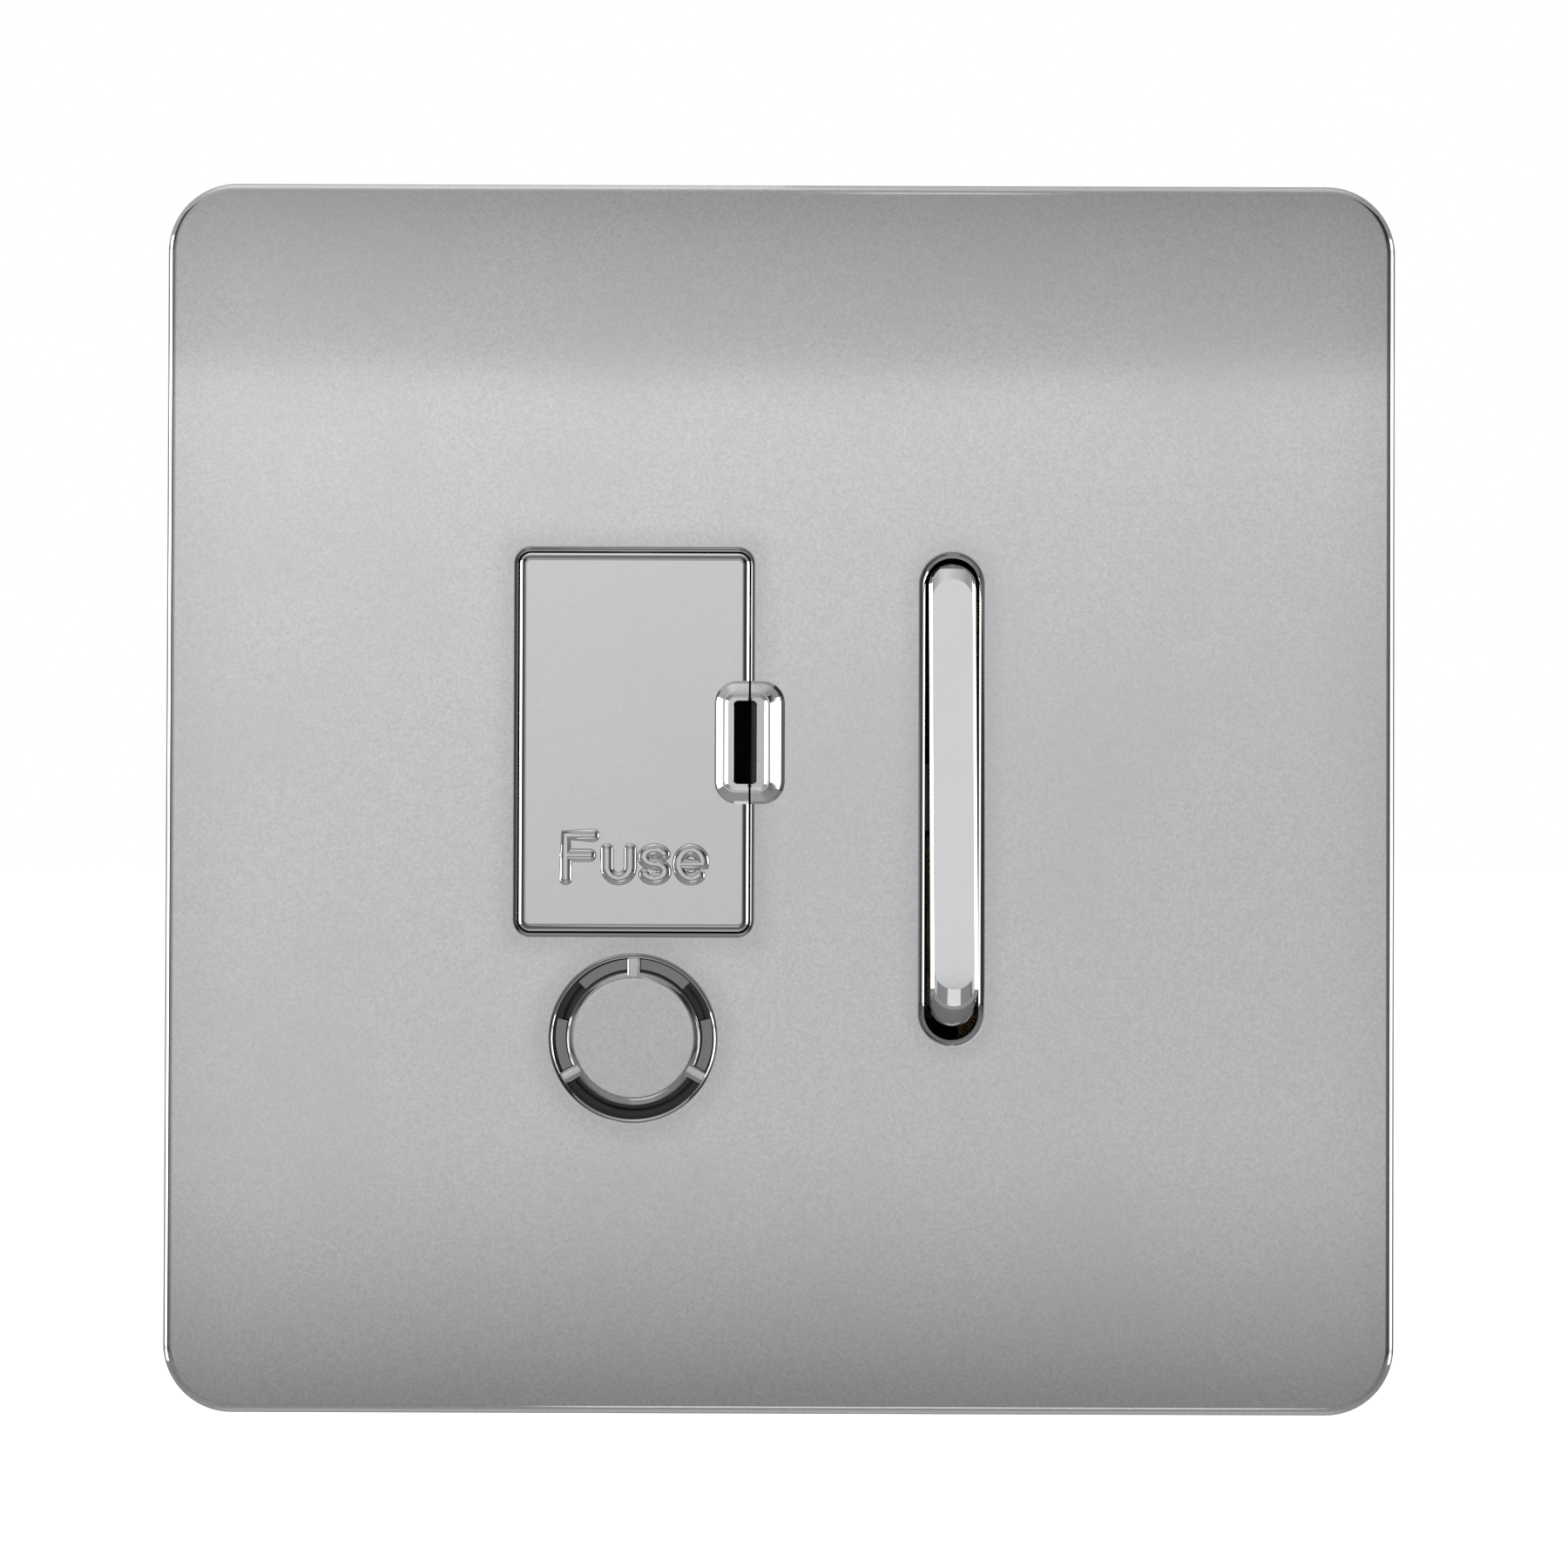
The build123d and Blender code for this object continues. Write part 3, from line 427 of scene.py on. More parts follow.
# Areas of the front: a rectangle by its middle and half sizes, and two distances from it, all in metres.
# Painted shade round an opening fades, and a spared area ends, from the first distance to the second.
# painted shade: the plate darkens softly around the door, the rocker slot and the outlet
plateOpeningShade = {
    "colour": (0.1, 0.1, 0.1),
    "openings": (
        dict(middle=doorPlace, half=(doorWidth / 2 * mm, doorHeight / 2 * mm), edge=(0, 0.0026), strength=0.15),
        dict(middle=rockerPlace, half=(0, 0.01495), edge=(0.0019, 0.0043), strength=0.13),
        dict(middle=outletPlace, half=(0, 0), edge=(0.0056, 0.0082), strength=0.16),
    ),
}
outlineInset = 0.005
plateWall = {
    "middle": (0, 0),
    "half": (plateHigh.x * mm - outlineInset, plateHigh.z * mm - outlineInset),
    "edge": (0.0043, 0.0041),
}
discArea = {"middle": outletPlace, "half": (0, 0), "edge": (0.0055, 0.0057)}

# Painted darkening by depth, from the front inwards: each colour takes over between two depths (Y in metres). On the
# plate the first two layers paint a thin dark reflection line where each opening's edge starts to roll; the grey deeper
# in is duller plating and painted shade in grooves and walls; the last layer turns the deeper walls and the back to
# bare black moulding
satinGrey = (0.603, 0.607, 0.616)
dullAndShadedGrey = (0.23, 0.23, 0.235)
bareMoulding = (0.012, 0.012, 0.013)
plateDullingAndShade = (
    # painted dark reflection line at the start of the openings' rolled edges
    dict(depth=(-0.00799, -0.00796), colour=dullAndShadedGrey, spared=(plateWall, discArea)),
    dict(depth=(-0.007935, -0.007925), colour=satinGrey, spared=(plateWall, discArea)),
    # duller plating and painted shade in grooves and walls
    dict(depth=(-0.0074, -0.0069), colour=dullAndShadedGrey, spared=(plateWall,)),
    dict(depth=(-0.00645, -0.0063), colour=bareMoulding, spared=(plateWall,)),
)
# painted dark reflection line where the door's edge starts to roll, then back to nearly the door's own colour
doorPaintedEdgeLine = (
    dict(depth=(-0.00819, -0.00816), colour=dullAndShadedGrey, spared=()),
    dict(depth=(-0.00808, -0.00807), colour=(0.6, 0.605, 0.61), spared=()),
)

# Finishes by slot: colours are linear, lengths in metres, scales in features per metre
looks = {
    "satin_plating": dict(colour=satinGrey, tint=(0.57, 0.573, 0.58), metallic=1, roughness=(0.055, 0.08),
                          grainScale=5200, grain=0.1, cloudScale=60, cloud=0.5, relief=0.025, reliefDepth=0.00002,
                          dullingAndShade=plateDullingAndShade, openingShade=plateOpeningShade),
    "satin_door": dict(colour=(0.612, 0.616, 0.624), tint=(0.59, 0.593, 0.601), metallic=1, roughness=(0.06, 0.085),
                       grainScale=4200, grain=0.025, cloudScale=90, cloud=0.5, relief=0.012, reliefDepth=0.00002,
                       dullingAndShade=doorPaintedEdgeLine),
    "polished_plating": dict(colour=(0.66, 0.665, 0.672), tint=(0.635, 0.64, 0.65), metallic=1,
                             roughness=(0.025, 0.05), grainScale=2600, grain=0.012, cloudScale=140, cloud=0.4,
                             relief=0.02, reliefDepth=0.00002),
    "black_moulding": dict(colour=(0.012, 0.012, 0.0135), tint=(0.02, 0.02, 0.021), metallic=0,
                           roughness=(0.14, 0.24), grainScale=3000, grain=0.25, cloudScale=180, cloud=0.6,
                           relief=0.25, reliefDepth=0.00002, softEdge=0.00025),
    "zinc_steel": dict(colour=(0.6, 0.615, 0.64), tint=(0.55, 0.56, 0.57), metallic=1, roughness=(0.2, 0.38),
                       grainScale=1400, stretch=(0.12, 1, 1), grain=0.08, cloudScale=240, cloud=0.5,
                       relief=0.25, reliefDepth=0.00003, softEdge=0.0002),
    "spring_steel": dict(colour=(0.42, 0.42, 0.43), tint=(0.3, 0.29, 0.28), metallic=1, roughness=(0.22, 0.36),
                         grainScale=4000, grain=0.12, cloudScale=500, cloud=0.5, relief=0.2, reliefDepth=0.00002),
    "brass": dict(colour=(0.74, 0.55, 0.25), tint=(0.5, 0.33, 0.14), metallic=1, roughness=(0.16, 0.34),
                  grainScale=1800, stretch=(1, 1, 0.15), grain=0.1, cloudScale=260, cloud=0.6, relief=0.25,
                  reliefDepth=0.00003, softEdge=0.00018),
    "brass_screw": dict(colour=(0.7, 0.53, 0.27), tint=(0.46, 0.32, 0.15), metallic=1, roughness=(0.14, 0.28),
                        grainScale=2600, grain=0.1, cloudScale=420, cloud=0.6, relief=0.25, reliefDepth=0.00002,
                        softEdge=0.00014),
    "phosphor_bronze": dict(colour=(0.68, 0.44, 0.25), tint=(0.45, 0.26, 0.14), metallic=1, roughness=(0.18, 0.3),
                            grainScale=2200, stretch=(1, 1, 0.15), grain=0.1, cloudScale=300, cloud=0.5,
                            relief=0.2, reliefDepth=0.00002, softEdge=0.00012),
    "silver_contact": dict(colour=(0.84, 0.84, 0.82), tint=(0.6, 0.57, 0.5), metallic=1, roughness=(0.25, 0.4),
                           grainScale=5000, grain=0.06, cloudScale=900, cloud=0.6, relief=0.2,
                           reliefDepth=0.00002, softEdge=0.0001),
    "white_moulding": dict(colour=(0.8, 0.8, 0.77), tint=(0.74, 0.73, 0.68), metallic=0, roughness=(0.35, 0.5),
                           grainScale=2500, grain=0.04, cloudScale=300, cloud=0.5, relief=0.15,
                           reliefDepth=0.00002, softEdge=0.0001),
    "ceramic": dict(colour=(0.82, 0.81, 0.77), tint=(0.74, 0.71, 0.64), metallic=0, roughness=(0.1, 0.2),
                    grainScale=1800, grain=0.05, cloudScale=240, cloud=0.6, relief=0.12, reliefDepth=0.00003,
                    coat=0.3),
    "nickel_cap": dict(colour=(0.7, 0.68, 0.63), tint=(0.52, 0.5, 0.45), metallic=1, roughness=(0.12, 0.26),
                       grainScale=2400, stretch=(1, 1, 0.2), grain=0.08, cloudScale=300, cloud=0.6, relief=0.2,
                       reliefDepth=0.00002, softEdge=0.00012),
}
finishes = {slotName: surfaceFinish(slotName, look) for slotName, look in looks.items()}
for part in frame["record"]["subparts"]:
    node = frame["nodes"][part["node"]]
    node.data.materials.clear()
    node.data.materials.append(finishes[part["material_slot"]])
print("finishes made:", len(finishes))


# Raised rim of the lever slot, half on the door and half on the plate
rim = {
    "width": 4.9,
    "height": 8.6,
    "radius": 1.6,
    "cornerSegments": 12,
    "rise": 0.75,
    "crestSink": 0.11,
    "levels": (             # inset and shift to the right of the foot, the crest, its far side and the dish
        (0.2, -0.08),
        (0.605, -0.165),
        (0.12, 0),
        (0.25, 0),
    ),
    "doorFoot": 0.05,
    "plateFoot": 0.09,
    "crestEdge": 0.035,
    "crestSegments": 3,
    "dishDepth": 0.21,
    "root": 0.5,
    "slotInDoor": 1.1,
    "slotInPlate": 0.45,
    "slotHeight": 5.75,
    "slotCorner": 0.31,
    "slotSegments": 6,
    "slotEdge": 0.1,
    "slotEdgeSegments": 4,
    "slotMargin": 0.3,
}
plateFront = plateLow.y + rim["rise"]
crestLevel = plateLow.y + rim["crestSink"]
dishLevel = crestLevel + rim["dishDepth"]
doorGap = 0.15
partingX = doorHigh.x + doorGap / 2


def leverRim(base, footRise):
    # a pad that slopes up from its base to a narrow crest and down again into a dish
    bm = roundedBlock(rim["width"], rim["height"], rim["radius"], rim["cornerSegments"], base, base + rim["root"])
    rises = (footRise, base - crestLevel - footRise, 0, -rim["dishDepth"])
    crest = []
    for number, ((inset, shift), rise) in enumerate(zip(rim["levels"], rises)):
        insetFace(bm, frontFace(bm), inset, rise)
        bmesh.ops.translate(bm, vec=(shift, 0, 0), verts=frontFace(bm).verts)
        if number in (1, 2):        # both sides of the crest
            crest += frontFace(bm).edges[:]
    bevelEdges(bm, crest, rim["crestEdge"], rim["crestSegments"])
    return moveBy(bm, x=partingX, z=doorMid.z)


def leverSlot(back):
    width = rim["slotInDoor"] + rim["slotInPlate"]
    front = plateLow.y - rim["rise"]
    bm = roundedBlock(width, rim["slotHeight"], rim["slotCorner"], rim["slotSegments"], front, back)
    return moveBy(bm, x=partingX + (rim["slotInPlate"] - rim["slotInDoor"]) / 2, z=doorMid.z)


def byLeverSlot(spot):
    across = rim["slotInDoor"] + rim["slotMargin"]
    upward = rim["slotHeight"] / 2 + rim["slotMargin"]
    return abs(spot.x - partingX) < across and abs(spot.z - doorMid.z) < upward


def softenSlot(piece):
    bm = meshOf(piece)
    bevelEdges(bm, cornerEdges(bm, dishLevel, byLeverSlot), rim["slotEdge"], rim["slotEdgeSegments"])
    putBack(bm, piece)


# Front plate: satin plated, with the knock-out disc moulded in
plate = {
    "cornerRadius": 4.8,
    "cornerSegments": 20,
    "edgeRadius": 0.7,
    "edgeSegments": 14,
    "wall": 2.0,
    "rim": 2.0,
    "doorRadius": 0.9,
    "doorSegments": 14,
    "doorEdge": dict(radius=0.5, turn=31, chamfer=0.11),
    "rockerGap": 0.28,
    "rockerEnd": 33.7,
    "rockerSegments": 24,
    "rockerEdge": dict(radius=0.75, turn=33, chamfer=0.11),
    "outletRadius": 5.65,
    "outletSegments": 96,
    "outletEdge": dict(radius=0.4, turn=33, chamfer=0.11),
    "discRecess": 0.4,
    "discEdge": dict(radius=0.8, turn=33, chamfer=0.13),
    "ringWidth": 1.0,
    "tabs": 3,
    "firstTab": 90,                                     # degrees round from the right, seen from the front
    "tabWidth": 1.0,
    "tabRoot": 0.3,
    "tabSink": 0.04,                                    # below the disc's face
    "tabBack": 0.03,                                    # in front of the plate's back
    "tabEdge": 0.25,
    "tabSegments": 4,
    "webArcs": ((45, 135), (166, 210), (330, 374)),     # degrees, as for the tabs
    "webSteps": 24,
    "webThick": 0.5,
    "webFoot": 0.2,
    "webGroove": 0.15,
    "webOverlap": 0.05,
    "clipX": 20.0,
    "clipWidth": 8.0,
    "clipThick": 1.2,
    "clipGap": 0.15,
    "clipCorner": 0.2,
    "clipRoot": 0.3,
    "barb": 0.8,
    "barbRoot": 0.4,
    "barbEdge": 0.25,
    "frameThick": 1.2,
    "frameFlange": 4.2,
    "notchWidth": 9.0,
    "notchDepth": 1.2,
    "notchCorner": 0.3,
    "smallSegments": 3,
    "sharp": 12,
}
skin = plateFront + fine["skin"]
plateBack = plateFront + plate["wall"]
discFront = plateFront + plate["discRecess"]
discRadius = plate["outletRadius"] - plate["ringWidth"]


def plateShell():
    size = plateHigh.x - plateLow.x
    bm = roundedBlock(size, size, plate["cornerRadius"], plate["cornerSegments"], plateFront, plateHigh.y)
    bevelEdges(bm, frontFace(bm).edges[:], plate["edgeRadius"], plate["edgeSegments"])
    insetFace(bm, backFace(bm), plate["rim"], 0)
    sinkFace(bm, backFace(bm), plateBack - plateHigh.y)
    between = (doorHigh.x + rockerLow.x) / 2
    scoreFront(bm, 'X', between, lambda spot: True)
    scoreFront(bm, 'X', doorMid.x, lambda spot: spot.x < between)
    scoreFront(bm, 'X', pivot.x, lambda spot: spot.x > between)
    scoreFront(bm, 'Z', outletMid.z, lambda spot: spot.x < between)
    return toObject(bm, "plate")


def turnedIn(bm, edge):
    # a cutter that turns the edge of its opening in and then goes straight on through the plate
    return taperBack(bm, edge, plate["wall"] + fine["past"])


def turnAbout(bm, degrees):
    # turns a piece of the knock-out to its angle and takes it to the outlet
    turn = Matrix.Rotation(-math.radians(degrees), 3, 'Y')
    bmesh.ops.rotate(bm, cent=(0, 0, 0), matrix=turn, verts=bm.verts)
    return moveBy(bm, x=outletMid.x, z=outletMid.z)


def knockOutDisc():
    front = discFront + edgeDrop(plate["discEdge"])
    bm = roundBar(discRadius, plate["outletSegments"], front, plateBack)
    return turnAbout(crownFront(bm, plate["discEdge"]), 0)


def knockOutTab(number):
    # break-off tab, sunk into the disc and the plate
    inner = discRadius - plate["tabRoot"] - edgeWidth(plate["discEdge"])
    outer = plate["outletRadius"] + plate["tabRoot"]
    front, back = discFront + plate["tabSink"], plateBack - plate["tabBack"]
    middle = (front + back) / 2
    bm = moveBy(plainBlock(outer - inner, back - front, plate["tabWidth"]), x=(inner + outer) / 2, y=middle)
    frontEdges = [e for e in bm.edges if all(v.co.y < middle for v in e.verts)]
    longEdges = [e for e in frontEdges if abs(e.verts[0].co.x - e.verts[1].co.x) > plate["ringWidth"]]
    bevelEdges(bm, longEdges, plate["tabEdge"], plate["tabSegments"])
    return turnAbout(bm, plate["firstTab"] + number * 360 / plate["tabs"])


def knockOutWeb(start, end):
    # thin floor of the groove beside a tab
    overlap = plate["webOverlap"]
    inner, outer = discRadius - overlap, plate["outletRadius"] + overlap
    front, back = plateBack - plate["webThick"], plateBack - overlap
    foot, groove = plateBack - plate["webFoot"], plate["webGroove"] + overlap
    outline = ((inner, foot), (inner + groove, foot), (inner + groove, front), (outer - groove, front),
               (outer - groove, foot), (outer, foot), (outer, back), (inner, back))
    bm = bmesh.new()
    section = bm.faces.new([bm.verts.new((x, y, 0)) for x, y in outline])
    bmesh.ops.spin(bm, geom=[section], cent=(0, 0, 0), axis=(0, -1, 0), angle=math.radians(end - start),
                   steps=plate["webSteps"])
    bmesh.ops.recalc_face_normals(bm, faces=bm.faces)
    return turnAbout(bm, start)


def plateClip(x, side):
    # spring tab behind the plate, with a barb for the frame's window
    inner = (frameHigh.z - frameLow.z) / 2 + plate["clipGap"]
    back = -plate["frameThick"]
    tab = roundedBlock(plate["clipWidth"], plate["clipThick"], plate["clipCorner"], plate["smallSegments"],
                       plateBack - plate["clipRoot"], back)
    moveBy(tab, x=x, z=side * (inner + plate["clipThick"] / 2))
    barb = plainBlock(plate["clipWidth"], plate["barb"], plate["barb"] + plate["barbRoot"])
    middle = back - (plate["frameFlange"] - plate["frameThick"]) / 2
    moveBy(barb, x=x, y=middle, z=side * (inner - plate["barb"] / 2 + plate["barbRoot"] / 2))
    tip = inner - plate["barb"]
    ridge = [e for e in barb.edges if all(abs(v.co.z * side - tip) < fine["onLevel"] for v in e.verts)]
    bevelEdges(barb, ridge, plate["barbEdge"], plate["smallSegments"])
    return tab, barb


def frontPlate():
    piece = plateShell()
    above = plateFront - fine["past"]
    reach = doorGap + edgeWidth(plate["doorEdge"])
    opening = roundedBlock(doorWidth + 2 * reach, doorHeight + 2 * reach, plate["doorRadius"] + reach - doorGap,
                           plate["doorSegments"], above, skin)
    combine(piece, moveBy(turnedIn(opening, plate["doorEdge"]), x=doorMid.x, z=doorMid.z), 'DIFFERENCE')
    flare = 2 * edgeWidth(plate["rockerEdge"])
    rockerWidth = rockerHigh.x - rockerLow.x + 2 * plate["rockerGap"]
    slot = stadiumBlock(rockerWidth + flare, plate["rockerEnd"] + flare, plate["rockerSegments"], above, skin)
    combine(piece, moveBy(turnedIn(slot, plate["rockerEdge"]), x=pivot.x), 'DIFFERENCE')
    hole = roundBar(plate["outletRadius"] + edgeWidth(plate["outletEdge"]), plate["outletSegments"], above, skin)
    combine(piece, turnAbout(turnedIn(hole, plate["outletEdge"]), 0), 'DIFFERENCE')
    combine(piece, knockOutDisc(), 'UNION')
    for number in range(plate["tabs"]):
        combine(piece, knockOutTab(number), 'UNION')
    for start, end in plate["webArcs"]:
        combine(piece, knockOutWeb(start, end), 'UNION')
    combine(piece, sliceAt(leverRim(plateFront, rim["plateFoot"]), doorHigh.x + doorGap, False), 'UNION')
    combine(piece, leverSlot(plateBack + fine["past"]), 'DIFFERENCE')
    softenSlot(piece)
    for side in (-1, 1):
        for x in (-plate["clipX"], plate["clipX"]):
            for solid in plateClip(x, side):
                combine(piece, solid, 'UNION')
    notch = roundedBlock(plate["notchWidth"], 2 * plate["rim"] + fine["past"], plate["notchCorner"],
                         plate["smallSegments"], -plate["notchDepth"], fine["past"])
    combine(piece, moveBy(notch, z=plateLow.z), 'DIFFERENCE')
    return finishPiece(piece, "plate_shell", "module", "satin_plating", "front_plate", sharp=plate["sharp"])


frontPlate()


# Fuse door: the plated front of the drawer
door = {
    "radius": 0.75,
    "segments": 12,
    "proud": 0.2,
    "edge": dict(radius=0.75, turn=35, chamfer=0.12),
    "depth": 2.5,
    "wall": 1.2,
    "rim": 1.0,
    "sharp": 12,
}
doorFront = plateFront - door["proud"]


def fuseDoor():
    bm = roundedBlock(doorWidth, doorHeight, door["radius"], door["segments"], doorFront + edgeDrop(door["edge"]),
                      plateFront + door["depth"])
    crownFront(bm, door["edge"])
    insetFace(bm, backFace(bm), door["rim"], 0)
    sinkFace(bm, backFace(bm), door["wall"] - door["depth"])
    piece = toObject(moveBy(bm, x=doorMid.x, z=doorMid.z), "door")
    combine(piece, sliceAt(leverRim(doorFront, rim["doorFoot"]), doorHigh.x, True), 'UNION')
    combine(piece, leverSlot(plateFront + door["depth"] + fine["past"]), 'DIFFERENCE')
    softenSlot(piece)
    return finishPiece(piece, "drawer_door", "fuse_drawer", "satin_door", "fuse_door", sharp=door["sharp"])


fuseDoor()


# Raised word on the door that says what the drawer holds, in plain round strokes
word = {
    "fromLeft": 2.8,
    "fromBottom": 3.2,
    "capHeight": 3.95,
    "smallHeight": 2.95,
    "widths": (2.84, 2.57, 2.38, 2.65),
    "space": 0.03,
    "stroke": 0.94,
    "barUp": 0.25,              # the middle bar's place above half height and its short end, in half strokes
    "barEnd": 1.5,
    "hookArc": (180, 360),      # arcs of the round letters, in degrees
    "upperBowl": (25, 270),
    "lowerBowl": (90, -155),
    "loopArc": (0, 310),
    "arcSteps": 28,
    "barSteps": 8,
    "ballSegments": (24, 16),
    "rise": 0.3,
    "root": 0.1,
    "sharp": 80,
}


def arcPoints(x, z, across, up, start, end):
    count = word["arcSteps"]
    turns = [math.radians(start + (end - start) * step / count) for step in range(count + 1)]
    return [(x + across * math.cos(turn), z + up * math.sin(turn)) for turn in turns]


def wordStrokes():
    # middle lines of the strokes, letter by letter
    half = word["stroke"] / 2
    cap, small = word["capHeight"], word["smallHeight"]
    first, second, third, fourth = word["widths"]
    bar = cap / 2 + half * word["barUp"]
    hook = second / 2 - half
    bowl = (small - word["stroke"]) / 4
    bulge = third / 2 - half
    sides = fourth / 2 - half
    return (
        ([(half, half), (half, cap - half), (first - half, cap - half)],
         [(half, bar), (first - word["barEnd"] * half, bar)]),
        ([(half, small - half)] + arcPoints(second / 2, half + hook, hook, hook, *word["hookArc"])
         + [(second - half, small - half)],),
        (arcPoints(third / 2, small - half - bowl, bulge, bowl, *word["upperBowl"])
         + arcPoints(third / 2, half + bowl, bulge, bowl, *word["lowerBowl"]),),
        ([(half, small / 2)] + arcPoints(fourth / 2, small / 2, sides, small / 2 - half, *word["loopArc"]),),
    )


def addStroke(bm, points):
    # a round bar along the stroke, with a ball at each end
    curve = bpy.data.curves.new("stroke", 'CURVE')
    curve.dimensions = '3D'
    curve.bevel_depth = word["stroke"] / 2
    curve.bevel_resolution = word["barSteps"]
    curve.use_fill_caps = True
    spline = curve.splines.new('POLY')
    spline.points.add(len(points) - 1)
    for point, (x, z) in zip(spline.points, points):
        point.co = (x, 0, z, 1)
    bar = bpy.data.objects.new("stroke", curve)
    bm.from_mesh(bpy.data.meshes.new_from_object(bar))
    bpy.data.objects.remove(bar)
    around, upward = word["ballSegments"]
    for x, z in (points[0], points[-1]):
        bmesh.ops.create_uvsphere(bm, u_segments=around, v_segments=upward, radius=word["stroke"] / 2,
                                  matrix=Matrix.Translation((x, 0, z)))


def raisedWord():
    bm = bmesh.new()
    left = doorLow.x + word["fromLeft"]
    for strokes, width in zip(wordStrokes(), word["widths"]):
        for points in strokes:
            addStroke(bm, [(left + x, doorLow.z + word["fromBottom"] + z) for x, z in points])
        left += width + word["space"]
    bmesh.ops.scale(bm, vec=(1, 2 * word["rise"] / word["stroke"], 1), verts=bm.verts)
    piece = toObject(moveBy(bm, y=doorFront), "word")
    # the lower half of the strokes is cut off just under the door's face
    bm = meshOf(piece)
    bmesh.ops.bisect_plane(bm, geom=wholeOf(bm), plane_no=(0, 1, 0), clear_outer=True,
                           plane_co=(0, doorFront + word["root"], 0))
    bmesh.ops.holes_fill(bm, edges=[e for e in bm.edges if e.is_boundary], sides=0)
    putBack(bm, piece)
    return finishPiece(piece, "drawer_lettering", "fuse_drawer", "satin_door", sharp=word["sharp"])


raisedWord()


# Rocker cap: narrow stadium with a plane face, a chamfer all round it, a curved facet at each end and bulging ends
rocker = {
    "baseHeight": 1.0,
    "baseReach": 16.29,
    "skirtHeight": 3.81,
    "skirtReach": 16.55,
    "edgeHeight": 7.165,
    "edgeReach": 15.72,
    "edgeDip": 0.46,
    "faceHeight": 7.35,
    "faceReach": 14.4,
    "facetReach": 15.5,
    "facetDip": 0.46,
    "chamfer": 0.22,
    "wall": 0.6,
    "hollowSegments": 16,
    "tilt": 9.0,
    "steps": 36,
    "sharp": 9,
}


def stadiumRing(bm, half, reach, height, dip=0):
    # once round a stadium outline; its height falls off towards the two ends
    ring = []
    for side in (1, -1):
        for step in range(rocker["steps"] + 1):
            turn = math.pi * (step / rocker["steps"] - 0.5)
            x, z = half * math.sin(turn), reach - half + half * math.cos(turn)
            ring.append(bm.verts.new((side * x, dip * math.cos(turn) - height, side * z)))
    return ring


def bridgeRings(bm, lower, upper):
    for number in range(len(lower)):
        after = (number + 1) % len(lower)
        bm.faces.new((lower[number], lower[after], upper[after], upper[number]))


def rockerCap():
    half = (rockerHigh.x - rockerLow.x) / 2
    inner = half - rocker["chamfer"]
    bm = bmesh.new()
    base = stadiumRing(bm, half, rocker["baseReach"], rocker["baseHeight"])
    skirt = stadiumRing(bm, half, rocker["skirtReach"], rocker["skirtHeight"])
    edge = stadiumRing(bm, half, rocker["edgeReach"], rocker["edgeHeight"], rocker["edgeDip"])
    facet = stadiumRing(bm, inner, rocker["facetReach"], rocker["faceHeight"], rocker["facetDip"])
    face = stadiumRing(bm, inner, rocker["faceReach"], rocker["faceHeight"])
    bridgeRings(bm, base, skirt)
    bridgeRings(bm, skirt, edge)
    count = len(face)
    for number in range(count):
        after = (number + 1) % count
        if after % (count // 2):
            bm.faces.new((edge[number], edge[after], facet[after], facet[number]))
            bm.faces.new((facet[number], facet[after], face[after], face[number]))
        else:                       # the straight sides, where the facets run out
            bm.faces.new((edge[number], edge[after], facet[after], face[after], face[number], facet[number]))
    bm.faces.new(face)
    bm.faces.new(base)
    bmesh.ops.recalc_face_normals(bm, faces=bm.faces)
    piece = toObject(bm, "rocker")
    core = 2 * (rocker["faceReach"] - rocker["wall"])
    hollow = stadiumBlock(2 * (half - rocker["wall"]), core, rocker["hollowSegments"],
                          rocker["wall"] - rocker["edgeHeight"], 0)
    combine(piece, hollow, 'DIFFERENCE')
    lean = Matrix.Rotation(-math.radians(rocker["tilt"]), 4, 'X')
    piece.data.transform(Matrix.Translation(pivot) @ lean)
    return finishPiece(piece, "rocker_face", "rocker", "polished_plating", "rocker_cap", sharp=rocker["sharp"])


rockerCap()


# Studio: soft lamps, a pale floor, and a round tent that polished metal mirrors
studio = {
    "floorLevel": -0.06,
    "floorRadius": 4,
    "floorSegments": 96,
    "floorColour": 0.88,
    "floorGlow": 0.6,
    "skyLight": 0.55,
    "tentRadius": 1.0,
    "tentSegments": (96, 48),
    "lamps": (              # place, size and power
        ((-0.55, -0.85, 0.75), 0.6, 3.0),
        ((0.65, -0.75, 0.45), 0.6, 1.6),
        ((0.1, 0.9, 0.8), 0.7, 2.2),
    ),
}


def studioLamp(number, place, size, power):
    light = bpy.data.lights.new(f"lamp{number}", 'AREA')
    light.shape = 'DISK'
    light.size = size
    light.energy = power
    lamp = bpy.data.objects.new(light.name, light)
    lamp.location = place
    lamp.rotation_euler = (-Vector(place)).to_track_quat('-Z', 'Y').to_euler()
    lamp.visible_glossy = False
    scene.collection.objects.link(lamp)


def bareMaterial(name):
    material = bpy.data.materials.new(name)
    material.use_nodes = True
    tree = material.node_tree
    tree.nodes.remove(tree.nodes["Principled BSDF"])
    return material, tree, tree.nodes["Material Output"]


